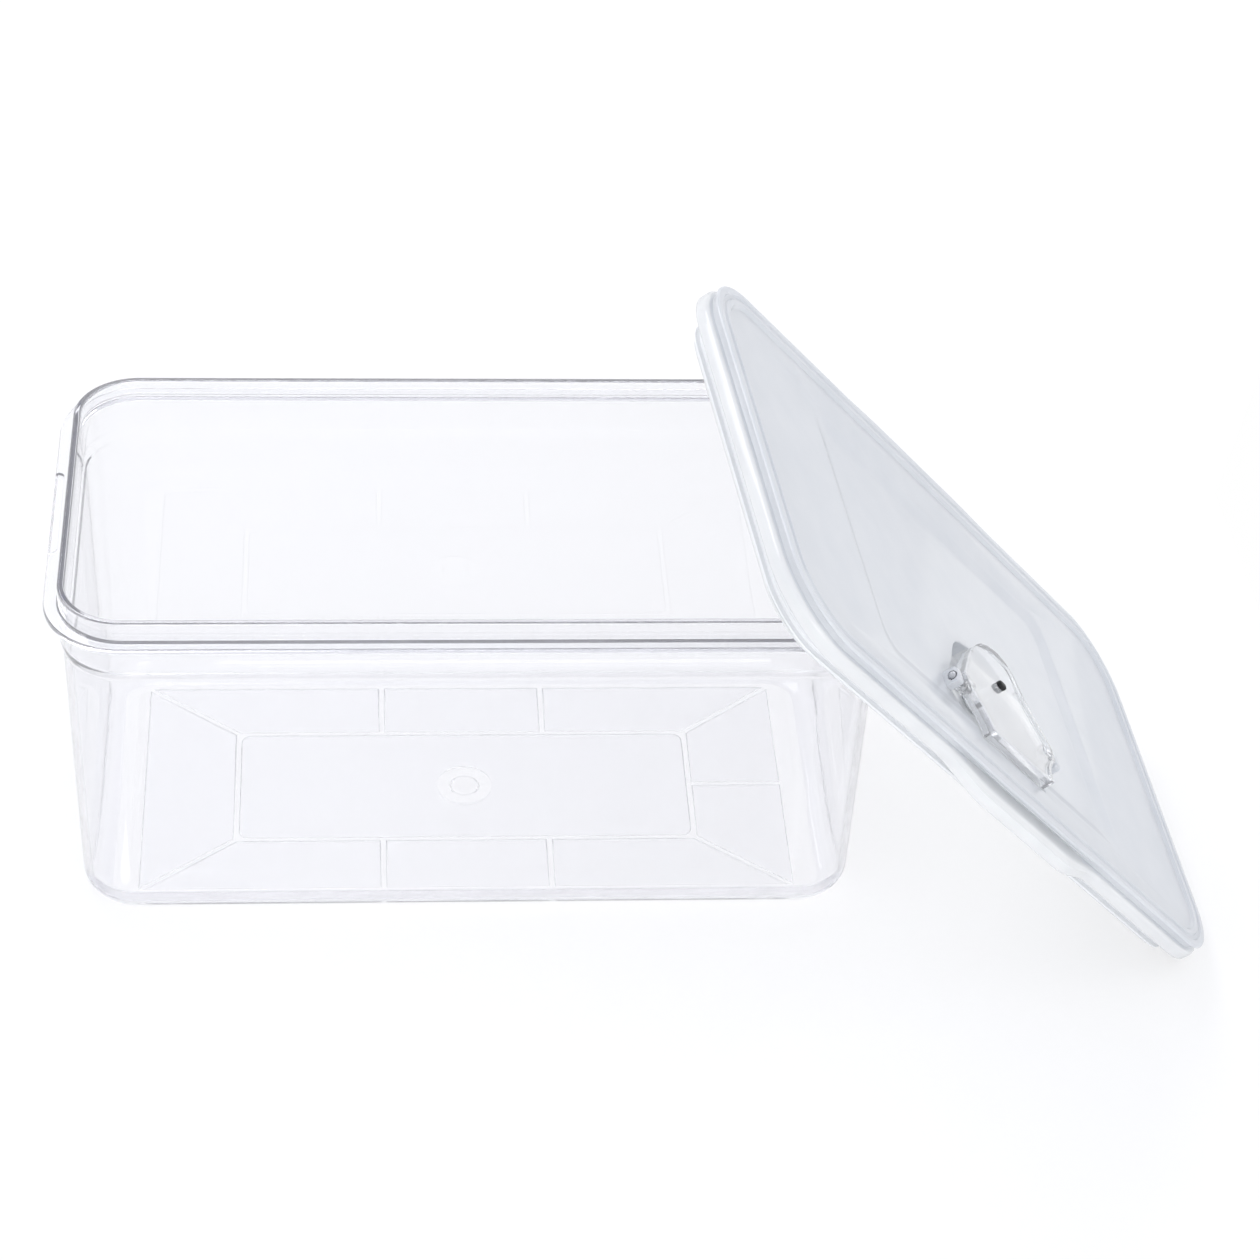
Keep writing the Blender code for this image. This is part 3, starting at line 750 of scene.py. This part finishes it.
for row in range(ROWS + 1):
    old = NEAR_END + (FAR_END - NEAR_END) * row / ROWS
    new = row_place(row)
    pick("verts", lambda v: abs(v.co.y - old * MM) < MM / 50 and v.co.z < 5 * MM)
    bpy.ops.transform.resize(value=(half_width(new), 1, 1), center_override=(0, old * MM, 0))
    lift = max(0.0, (new - ARCH_START) / (FAR_END - ARCH_START)) ** 2 * ARCH
    bpy.ops.transform.translate(value=(0, (new - old) * MM, lift * MM + WAITING * MM))
bpy.ops.mesh.select_all(action="SELECT")
bpy.ops.transform.translate(value=(0, 0, -WAITING * MM))
pick("faces", lambda f: True)
bpy.ops.mesh.extrude_region_move(TRANSFORM_OT_translate={"value": (0, 0, -PLATE * MM)})
bpy.ops.mesh.select_all(action="SELECT")
bpy.ops.mesh.normals_make_consistent(inside=False)
close_piece()
print("lever:", [round(x * 1000, 2) for x in lever.dimensions])

# %% [markdown]
# A raised rim runs round the top of the lever and a short skirt hangs under its sides
# and its near end; both catch the light and draw the lever's outline. They could be
# swept as a tube, but extruding the outer faces of the plate keeps it one moulding.

# %% Rim and skirt
SKIRT = 1.5
SKIRT_END = -17.0
EDGE_FROM = 1 - 2.2 / COLUMNS
END_ROWS = 1.0

open_piece(lever)


def on_ring(face):
    """True for a top face at the edge of the lever."""
    centre = face.calc_center_median() / MM
    if face.normal.z < 0.5:
        return False
    side = abs(centre.x) > EDGE_FROM * half_width(centre.y)
    return side or centre.y < NEAR_END + END_ROWS or centre.y > FAR_END - 1.3


def under_ring(face):
    """True for a face under the sides or the near end of the lever."""
    centre = face.calc_center_median() / MM
    if face.normal.z > -0.5 or centre.y > SKIRT_END:
        return False
    side = abs(centre.x) > EDGE_FROM * half_width(centre.y)
    return side or centre.y < NEAR_END + END_ROWS


print("faces in the rim:", pick("faces", on_ring))
bpy.ops.mesh.extrude_region_move(TRANSFORM_OT_translate={"value": (0, 0, RIM * MM)})
print("faces over the skirt:", pick("faces", under_ring))
bpy.ops.mesh.extrude_region_move(TRANSFORM_OT_translate={"value": (0, 0, -SKIRT * MM)})
bpy.ops.mesh.select_all(action="SELECT")
bpy.ops.mesh.normals_make_consistent(inside=False)
close_piece()
soften = lever.modifiers.new("edges", "BEVEL")
soften.width = 0.3 * MM
soften.segments = 3
soften.limit_method = "ANGLE"
soften.angle_limit = radians(50)
bpy.ops.object.modifier_apply(modifier=soften.name)

# %% [markdown]
# Two round ears under the sides hold the pins, and a slot near the middle takes the
# stem of the plug. Ears and bores are turned shapes, so they start as cylinders that
# lie on the hinge line.

# %% Ears and slot
EAR_X = 25.4
EAR_BORE_X = 26.3
SLOT_LINE = [Vector(p) for p in ((1.5, -23.9), (1.5, -22.1), (-1.5, -22.1), (-1.5, -23.9))]

for side in (-1, 1):
    nothing_selected()
    bpy.ops.mesh.primitive_cylinder_add(
        vertices=48,
        radius=2.7 * MM,
        depth=5 * MM,
        location=Vector((side * EAR_X, AXIS_Y, AXIS_Z)) * MM,
        rotation=(0, pi / 2, 0),
    )
    ear = set_down(named("ear"))
    open_piece(ear)
    pick("faces", lambda f: abs(f.normal.x) > 0.9)
    bpy.ops.mesh.inset(thickness=0.5 * MM)
    bpy.ops.mesh.select_all(action="DESELECT")
    pick("edges", lambda e: e.calc_face_angle(0) > 1.2)
    bpy.ops.mesh.bevel(offset=0.3 * MM, segments=3, affect="EDGES")
    close_piece()
    lever = combine(lever, ear, "UNION")
    nothing_selected()
    bpy.ops.mesh.primitive_cylinder_add(
        vertices=32,
        radius=1.5 * MM,
        depth=7 * MM,
        location=Vector((side * EAR_BORE_X, AXIS_Y, AXIS_Z)) * MM,
        rotation=(0, pi / 2, 0),
    )
    lever = combine(lever, set_down(named("ear_bore")), "DIFFERENCE")

lever = combine(lever, block("stem_slot", SLOT_LINE, -3.0, 6.0), "DIFFERENCE")
smooth(lever, 40)
set_down(lever, LEAN)

# %% [markdown]
# ## The valve plug
# The plug is moulded in silicone: a round foot that seals the vent, a neck, and a long
# button that is pulled through a slot in the lever. Foot and neck are turned from a
# drawn line by spin; the button is a small soft block.

# %% Plug
STEM_LINE = [Vector(p) for p in ((1.2, -23.6), (1.2, -22.4), (-1.2, -22.4), (-1.2, -23.6))]
BUTTON_Z = 2.35
BUTTON_SIZE = (4.0 * MM, 2.4 * MM, 1.5 * MM)

foot_section = [
    (0.0, -9.3, 0),
    (3.6, -9.3, 0.4),
    (3.7, -8.3, 0.5),
    (1.8, -7.4, 0.6),
    (1.8, -0.9, 0.3),
    (0.0, -0.9, 0),
]
foot_line = soft_line(foot_section, 20)
draw_line("plug_body", [Vector((p.x * MM, VALVE_Y * MM, p.y * MM)) for p in foot_line])
bpy.ops.mesh.spin(steps=48, angle=2 * pi, center=(0, VALVE_Y * MM, 0), axis=(0, 0, 1))
bpy.ops.mesh.select_all(action="SELECT")
bpy.ops.mesh.remove_doubles(threshold=MM / 50)
bpy.ops.mesh.normals_make_consistent(inside=False)
plug = close_piece()
plug = combine(plug, block("stem", STEM_LINE, -2.2, 2.2), "UNION")

nothing_selected()
bpy.ops.mesh.primitive_cube_add(size=1, location=(0, VALVE_Y * MM, BUTTON_Z * MM))
button = named("button")
open_piece(button)
bpy.ops.mesh.select_all(action="SELECT")
bpy.ops.transform.resize(value=BUTTON_SIZE)
pick("edges", lambda e: abs(e.verts[0].co.z - e.verts[1].co.z) > 0.5 * MM)
bpy.ops.mesh.bevel(offset=1.15 * MM, segments=8, affect="EDGES")
pick("edges", lambda e: all(v.co.z > 0 for v in e.verts) and e.calc_face_angle(0) > 1.2)
bpy.ops.mesh.bevel(offset=0.6 * MM, segments=5, affect="EDGES")
close_piece()
plug = combine(plug, set_down(button), "UNION")
smooth(plug, 40)
set_down(plug, LEAN)

# %% [markdown]
# ## The pins
# Two short steel pins hold the lever. They are cut from drawn wire and their ends are
# tumbled, so each end is a small flat with a rounded rim.

# %% Pins
PIN_X = 27.9
PIN_LENGTH = 9.8 * MM
PIN_RADIUS = 1.2 * MM

pins = {}
for name, side in (("left", -1), ("right", 1)):
    nothing_selected()
    bpy.ops.mesh.primitive_cylinder_add(
        vertices=40,
        radius=PIN_RADIUS,
        depth=PIN_LENGTH,
        location=Vector((side * PIN_X, AXIS_Y, AXIS_Z)) * MM,
        rotation=(0, pi / 2, 0),
    )
    pin = set_down(named("pin_" + name))
    open_piece(pin)
    pick("edges", lambda e: e.calc_face_angle(0) > 1.2)
    bpy.ops.mesh.bevel(offset=0.35 * MM, segments=4, affect="EDGES")
    pick("faces", lambda f: abs(f.normal.x) > 0.99)
    bpy.ops.mesh.inset(thickness=0.4 * MM)
    close_piece()
    smooth(pin, 50)
    pins[name] = set_down(pin, LEAN)

# %% [markdown]
# ## Materials
# Colours are written as sRGB hex, as a colour picker shows them, and one function
# turns them to the linear values that shaders work with. One other function adds a
# node with its settings and links, so that each material reads as a short list.


# %% Colour and nodes
def linear(text):
    """An sRGB hex colour as linear red, green, blue and alpha."""
    parts = [int(text[i : i + 2], 16) / 255 for i in (1, 3, 5)]
    return [c / 12.92 if c <= 0.04045 else ((c + 0.055) / 1.055) ** 2.4 for c in parts] + [1.0]


def add(tree, kind, inputs=None, **options):
    """Adds a node. Inputs are values or sockets to link; options are its own settings."""
    node = tree.nodes.new(kind)
    for key, value in options.items():
        setattr(node, key, value)
    for key, value in (inputs or {}).items():
        if isinstance(value, bpy.types.NodeSocket):
            tree.links.new(value, node.inputs[key])
        else:
            node.inputs[key].default_value = value
    return node


def blank(name):
    """A new material with an empty node tree and its output node."""
    material = bpy.data.materials.new(name)
    material.use_nodes = True
    material.node_tree.nodes.clear()
    return material, material.node_tree, material.node_tree.nodes.new("ShaderNodeOutputMaterial")


def finish(piece, material, body, slot, *nodes):
    """Gives a piece its material, the body it rides on and the CAD nodes it stands for."""
    piece.data.materials.clear()
    piece.data.materials.append(material)
    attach(piece, body)
    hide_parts(*nodes)


# %% [markdown]
# ### Clear SAN and clear polycarbonate
# The tub is styrene-acrylonitrile, injection moulded against a polished steel mould:
# nearly crystal clear, index 1.57, very smooth. The long way through a rim shows a
# faint violet-blue, which is absorption inside the plastic. Slow waves in the wall,
# about 30 mm apart, come from the way the melt flowed and bend what is seen through it
# a little. A small haze, a tenth of the light, lifts the dark lines in the rim to a
# soft grey, and a coat gives back the gloss that the haze takes. The lever is
# polycarbonate, index 1.58: a small moulding, so its waves are closer, and its mould
# was less polished. Lamps shine through both by the shadow ray switch, since clear
# plastic throws little shadow.

# %% Clear plastics
SPECK = 9 * MM


def clear_plastic(name, tint, deep, density, wave, height, roughness, index, haze):
    """Clear plastic; deep and density say what the light loses on its way inside."""
    material, tree, output = blank(name)
    place = add(tree, "ShaderNodeTexCoord").outputs["Object"]
    flow = add(tree, "ShaderNodeTexNoise", {"Vector": place, "Scale": 1 / wave, "Detail": 2.0})
    specks = add(tree, "ShaderNodeTexNoise", {"Vector": place, "Scale": 1 / SPECK, "Detail": 3.0})
    rough = add(
        tree,
        "ShaderNodeMapRange",
        {"Value": specks.outputs["Fac"], "To Min": roughness * 0.6, "To Max": roughness * 1.6},
    )
    bump = add(
        tree,
        "ShaderNodeBump",
        {"Height": flow.outputs["Fac"], "Strength": 1.0, "Distance": height},
    )
    plastic = add(
        tree,
        "ShaderNodeBsdfPrincipled",
        {
            "Base Color": linear(tint),
            "Roughness": rough.outputs["Result"],
            "IOR": index,
            "Transmission Weight": 1 - haze,
            "Coat Weight": 4 * haze,
            "Coat Roughness": 0.02,
            "Normal": bump.outputs["Normal"],
        },
    )
    lamp_side = add(tree, "ShaderNodeBsdfTransparent", {"Color": linear("#FDFDFE")})
    light = add(tree, "ShaderNodeLightPath")
    both = add(
        tree,
        "ShaderNodeMixShader",
        {0: light.outputs["Is Shadow Ray"], 1: plastic.outputs[0], 2: lamp_side.outputs[0]},
    )
    inside = add(tree, "ShaderNodeVolumeAbsorption", {"Color": linear(deep), "Density": density})
    tree.links.new(both.outputs[0], output.inputs["Surface"])
    tree.links.new(inside.outputs[0], output.inputs["Volume"])
    return material


san = clear_plastic(
    "clear_san",
    tint="#FAFAFA",
    deep="#8A8CC4",
    density=13.0,
    wave=30 * MM,
    height=0.05 * MM,
    roughness=0.015,
    index=1.57,
    haze=0.1,
)
pc = clear_plastic(
    "clear_polycarbonate",
    tint="#FAFBFC",
    deep="#8C92C0",
    density=3.0,
    wave=12 * MM,
    height=0.02 * MM,
    roughness=0.08,
    index=1.58,
    haze=0.14,
)
print("clear plastics:", san.name, pc.name)

# %% [markdown]
# ### Milky polypropylene
# Polypropylene is half crystalline, so a thin moulding is milky: light soaks in and
# comes out soft and slightly blue. The mould was satin, with a thin gloss on top. A
# soft mottle, about 14 mm across, and a swell of the surface over 35 mm keep it from
# looking like paint.
# The roll at the foot of the skirt, the inner wall and the well are polished harder
# than the panel, and they get a lighter, more see-through copy of the plastic. That
# lighter colour is painted light: a painted highlight on the roll, and painted light
# against the shade on the inner wall and in the well.

# %% Lid plastics
MOTTLE = 14 * MM
SWELL = 35 * MM


def milky_plastic(name, dark, pale, deep, share, roughness, coat, coat_roughness, swell):
    """Milky plastic; share is the part of the light that soaks through, tinted deep."""
    material, tree, output = blank(name)
    place = add(tree, "ShaderNodeTexCoord").outputs["Object"]
    mottle = add(tree, "ShaderNodeTexNoise", {"Vector": place, "Scale": 1 / MOTTLE, "Detail": 4.0})
    tone = add(tree, "ShaderNodeValToRGB", {"Fac": mottle.outputs["Fac"]})
    tone.color_ramp.elements[0].position = 0.3
    tone.color_ramp.elements[0].color = linear(dark)
    tone.color_ramp.elements[1].position = 0.7
    tone.color_ramp.elements[1].color = linear(pale)
    body = add(
        tree,
        "ShaderNodeBsdfPrincipled",
        {
            "Base Color": tone.outputs["Color"],
            "Roughness": roughness,
            "IOR": 1.49,
            "Coat Weight": coat,
            "Coat Roughness": coat_roughness,
        },
    )
    if swell:
        hills = add(
            tree, "ShaderNodeTexNoise", {"Vector": place, "Scale": 1 / SWELL, "Detail": 1.0}
        )
        bump = add(
            tree,
            "ShaderNodeBump",
            {"Height": hills.outputs["Fac"], "Strength": 1.0, "Distance": swell},
        )
        tree.links.new(bump.outputs["Normal"], body.inputs["Normal"])
    through = add(tree, "ShaderNodeBsdfTranslucent", {"Color": linear(deep)})
    mixed = add(
        tree, "ShaderNodeMixShader", {0: share, 1: body.outputs[0], 2: through.outputs[0]}
    )
    tree.links.new(mixed.outputs[0], output.inputs["Surface"])
    return material


pp = milky_plastic(
    "milky_polypropylene",
    dark="#DEE1E5",
    pale="#E5E7EA",
    deep="#E8EBED",
    share=0.25,
    roughness=0.34,
    coat=0.7,
    coat_roughness=0.05,
    swell=0.05 * MM,
)
# A lighter copy of the lid plastic, as painted light: a painted highlight on the roll, painted
# light against the shade on the inner wall and in the well.
painted_light_pp = milky_plastic(
    "polypropylene_painted_light",
    dark="#EFF0F1",
    pale="#F6F7F7",
    deep="#FAFBFB",
    share=0.35,
    roughness=0.2,
    coat=1.0,
    coat_roughness=0.03,
    swell=0,
)
print("lid plastics:", pp.name, painted_light_pp.name)

# %% [markdown]
# ### Silicone and steel
# The gasket and the plug are liquid silicone, cured in the mould: matte, soft, with a
# very fine grain that catches dust. The pins are stainless wire with fine draw lines.

# %% Small parts
GRAIN = 0.8 * MM
DRAW_LINE = 0.4 * MM


def silicone(name, dark, pale):
    material, tree, output = blank(name)
    place = add(tree, "ShaderNodeTexCoord").outputs["Object"]
    grain = add(tree, "ShaderNodeTexNoise", {"Vector": place, "Scale": 1 / GRAIN, "Detail": 4.0})
    tone = add(tree, "ShaderNodeValToRGB", {"Fac": grain.outputs["Fac"]})
    tone.color_ramp.elements[0].color = linear(dark)
    tone.color_ramp.elements[1].color = linear(pale)
    bump = add(
        tree,
        "ShaderNodeBump",
        {"Height": grain.outputs["Fac"], "Distance": 0.03 * MM, "Strength": 1.0},
    )
    skin = add(
        tree,
        "ShaderNodeBsdfPrincipled",
        {
            "Base Color": tone.outputs["Color"],
            "Roughness": 0.5,
            "IOR": 1.43,
            "Normal": bump.outputs["Normal"],
        },
    )
    tree.links.new(skin.outputs[0], output.inputs["Surface"])
    return material


white_silicone = silicone("white_silicone", "#E6E8EA", "#F1F2F3")
black_silicone = silicone("black_silicone", "#0C0C0E", "#17171A")

steel, tree, output = blank("stainless_steel")
place = add(tree, "ShaderNodeTexCoord").outputs["Object"]
lines = add(tree, "ShaderNodeTexNoise", {"Vector": place, "Scale": 1 / DRAW_LINE, "Detail": 5.0})
rough = add(
    tree, "ShaderNodeMapRange", {"Value": lines.outputs["Fac"], "To Min": 0.2, "To Max": 0.42}
)
metal = add(
    tree,
    "ShaderNodeBsdfPrincipled",
    {"Base Color": linear("#B9BBBE"), "Metallic": 1.0, "Roughness": rough.outputs["Result"]},
)
tree.links.new(metal.outputs[0], output.inputs["Surface"])
print("small parts:", white_silicone.name, black_silicone.name, steel.name)

# %% [markdown]
# ## Dress the pieces
# Every piece gets its material, rides on its body and stands for its CAD node. Two
# pieces carry a second finish, so their faces are sorted by place, with the lid laid
# flat again. On the lid, the roll, the inner wall and the well take a lighter copy
# of its plastic as painted light: a painted highlight on the roll, and painted light
# against the shade of the inner wall and the well. On the plug, the part below its
# button takes a second tone. The picture shows a black bead in the slot and nothing
# dark under the clear lever, so the plug is taken as moulded in two tones.

# %% Dress the pieces
ROLL_INSET = 1.3 * MM
ROLL_TOP = -2.9 * MM
WALL_INSET = 12 * MM
WALL_TOP = -4.5 * MM
WELL_BOTTOM = -9.8 * MM
WELL_TOP = -4 * MM
WELL_SIDE = 1.3
BUTTON_FOOT = 0.3 * MM
unlean = LEAN.inverted()


def gets_painted_light(face):
    """True for a face of the roll, the inner wall or the well, which take the lighter copy with
    painted light.
    """
    centre = unlean @ face.center
    over_x = abs(centre.x) - (LID_HALF_X - LID_CORNER)
    over_y = abs(centre.y) - (LID_HALF_Y - LID_CORNER)
    if min(over_x, over_y) > 0:
        inset = LID_CORNER - Vector((over_x, over_y)).length
    else:
        inset = LID_CORNER - max(over_x, over_y)
    roll = inset < ROLL_INSET and centre.z < ROLL_TOP
    inner_wall = inset < WALL_INSET and centre.z < WALL_TOP
    beside = abs(centre.x) / MM < half_width(centre.y / MM) + WELL_SIDE
    return roll or inner_wall or (WELL_BOTTOM < centre.z < WELL_TOP and beside)


finish(tub, san, "tub", "clear_san", "tub")
finish(lid, pp, "lid", "frosted_pp", "lid")
# The roll, the inner wall and the well take the lighter copy: painted highlight and painted light
# against shade.
lid.data.materials.append(painted_light_pp)
for face in lid.data.polygons:
    face.material_index = 1 if gets_painted_light(face) else 0
print("faces with painted light:", sum(face.material_index for face in lid.data.polygons))
finish(gasket, white_silicone, "lid", "white_silicone", "lid_gasket")
finish(lever, pc, "lever", "clear_lever_plastic", "valve_lever")
finish(plug, black_silicone, "lever", "black_silicone", "valve_plug")
plug.data.materials.append(white_silicone)
for face in plug.data.polygons:
    face.material_index = 1 if (unlean @ face.center).z < BUTTON_FOOT else 0
for name, pin in pins.items():
    finish(pin, steel, "lid", "pin_steel", "lever_pin_" + name)

# %% [markdown]
# ## Table
# The photograph is a studio picture on white. The table is a large sheet of white
# paper. Six tenths of what the camera sees of it, directly, in gloss or through the
# plastic, is plain white; the rest is paper lit by the lamps, which keeps the
# object's soft shadow.

# %% Table
PLAIN_SHARE = 0.6

nothing_selected()
bpy.ops.mesh.primitive_plane_add(size=8)
table = named("table")
paper, tree, output = blank("white_paper")
place = add(tree, "ShaderNodeTexCoord").outputs["Object"]
fibre = add(tree, "ShaderNodeTexNoise", {"Vector": place, "Scale": 1 / (2 * MM), "Detail": 3.0})
tone = add(tree, "ShaderNodeValToRGB", {"Fac": fibre.outputs["Fac"]})
tone.color_ramp.elements[0].color = linear("#F8F8F9")
tone.color_ramp.elements[1].color = linear("#FCFCFC")
matte = add(tree, "ShaderNodeBsdfDiffuse", {"Color": tone.outputs["Color"]})
glow = add(tree, "ShaderNodeEmission", {"Color": linear("#FFFFFF"), "Strength": 1.0})
light = add(tree, "ShaderNodeLightPath")
seen = add(
    tree,
    "ShaderNodeMath",
    {0: light.outputs["Is Camera Ray"], 1: light.outputs["Is Glossy Ray"]},
    operation="MAXIMUM",
)
seen = add(
    tree,
    "ShaderNodeMath",
    {0: seen.outputs[0], 1: light.outputs["Is Transmission Ray"]},
    operation="MAXIMUM",
)
part = add(tree, "ShaderNodeMath", {0: seen.outputs[0], 1: PLAIN_SHARE}, operation="MULTIPLY")
mixed = add(
    tree, "ShaderNodeMixShader", {0: part.outputs[0], 1: matte.outputs[0], 2: glow.outputs[0]}
)
tree.links.new(mixed.outputs[0], output.inputs["Surface"])
table.data.materials.append(paper)
print("table:", [round(x, 2) for x in table.dimensions])

# %% [markdown]
# ## Room
# The room is a pale dome, white at the horizon and greyer overhead, because a clear
# thing shows itself by the grey that its edges pick up.

# %% Room
world = bpy.data.worlds.new("pale_room")
bpy.context.scene.world = world
world.use_nodes = True
tree = world.node_tree
tree.nodes.clear()
way = add(tree, "ShaderNodeTexCoord").outputs["Generated"]
height = add(tree, "ShaderNodeSeparateXYZ", {0: way}).outputs["Z"]
dome = add(tree, "ShaderNodeValToRGB", {"Fac": height})
dome.color_ramp.elements[0].position = 0.12
dome.color_ramp.elements[0].color = linear("#FFFFFF")
dome.color_ramp.elements[1].position = 0.75
dome.color_ramp.elements[1].color = linear("#C6C8D0")
back = add(tree, "ShaderNodeBackground", {"Color": dome.outputs["Color"], "Strength": 1.3})
output = add(tree, "ShaderNodeOutputWorld", {"Surface": back.outputs[0]})

# %% [markdown]
# ## Lamps
# One broad soft lamp stands at the back left and shines through the lid. A small one
# high on the right and a low one in front fill the side that faces the camera.


# %% Lamps
def soft_lamp(name, place, target, size, power):
    data = bpy.data.lights.new(name, "AREA")
    data.shape = "RECTANGLE"
    data.size, data.size_y = size
    data.energy = power
    lamp = bpy.data.objects.new(name, data)
    bpy.context.scene.collection.objects.link(lamp)
    lamp.location = place
    aim = Vector(target) - Vector(place)
    lamp.rotation_euler = aim.to_track_quat("-Z", "Y").to_euler()
    print(name, power, "W")


soft_lamp("broad_lamp", (-0.7, 0.9, 1.5), target=(0.05, 0, 0.08), size=(1.2, 0.9), power=11)
soft_lamp("high_lamp", (0.7, -0.5, 1.3), target=(0.15, -0.05, 0.1), size=(0.7, 0.7), power=1.3)
soft_lamp("front_lamp", (0.3, -1.5, 0.35), target=(0.1, 0, 0.08), size=(0.9, 0.5), power=3.8)

# %% [markdown]
# ## A white card
# The lid is satin and is seen at a flat angle, so it mirrors the table behind it. A
# white card lies there and gives the pale patch across the panel. To the camera the
# card is the same white as the table; only gloss sees it a little brighter.

# %% Card on the table
CARD = [Vector(p) for p in ((289, 40), (284, 161), (346, 307), (373, 234))]
card = block("reflector_card", CARD, 0.2, 1.2)
bright, tree, output = blank("bright_card")
light = add(tree, "ShaderNodeLightPath")
strength = add(
    tree,
    "ShaderNodeMapRange",
    {"Value": light.outputs["Is Glossy Ray"], "To Min": 1.0, "To Max": 1.3},
)
glow = add(
    tree,
    "ShaderNodeEmission",
    {"Color": linear("#FFFFFF"), "Strength": strength.outputs["Result"]},
)
tree.links.new(glow.outputs[0], output.inputs["Surface"])
card.data.materials.append(bright)
print("card:", [round(x, 3) for x in card.dimensions])

# %% [markdown]
# ## Camera
# The camera stands 1.14 m away and looks down by 39 degrees, as the photograph does.
# Its distance, turn and focal length were found by laying the tub's known corners
# over the picture.

# %% Camera
AIM = Vector((52.088, 0, 67.129)) * MM
DISTANCE = 1144.65 * MM
TURN = -0.101
PITCH = 0.684
ROLL = -0.061
FOCAL = 101.75

spin_about = Matrix.Rotation(TURN, 3, "Z")
forward = spin_about @ Vector((0, cos(PITCH), -sin(PITCH)))
level = spin_about @ Vector((1, 0, 0))
down = spin_about @ Vector((0, -sin(PITCH), -cos(PITCH)))
right = level * cos(ROLL) + down * sin(ROLL)
below = down * cos(ROLL) - level * sin(ROLL)
lens = bpy.data.cameras.new("camera")
lens.lens = FOCAL
lens.sensor_width = 36
camera = bpy.data.objects.new("camera", lens)
bpy.context.scene.collection.objects.link(camera)
place = AIM - forward * DISTANCE
axes = Matrix((right, -below, -forward)).transposed()
camera.matrix_world = Matrix.Translation(place) @ axes.to_4x4()
bpy.context.scene.camera = camera
bpy.context.scene.view_settings.view_transform = "Standard"
print("camera at", [round(x, 3) for x in place])
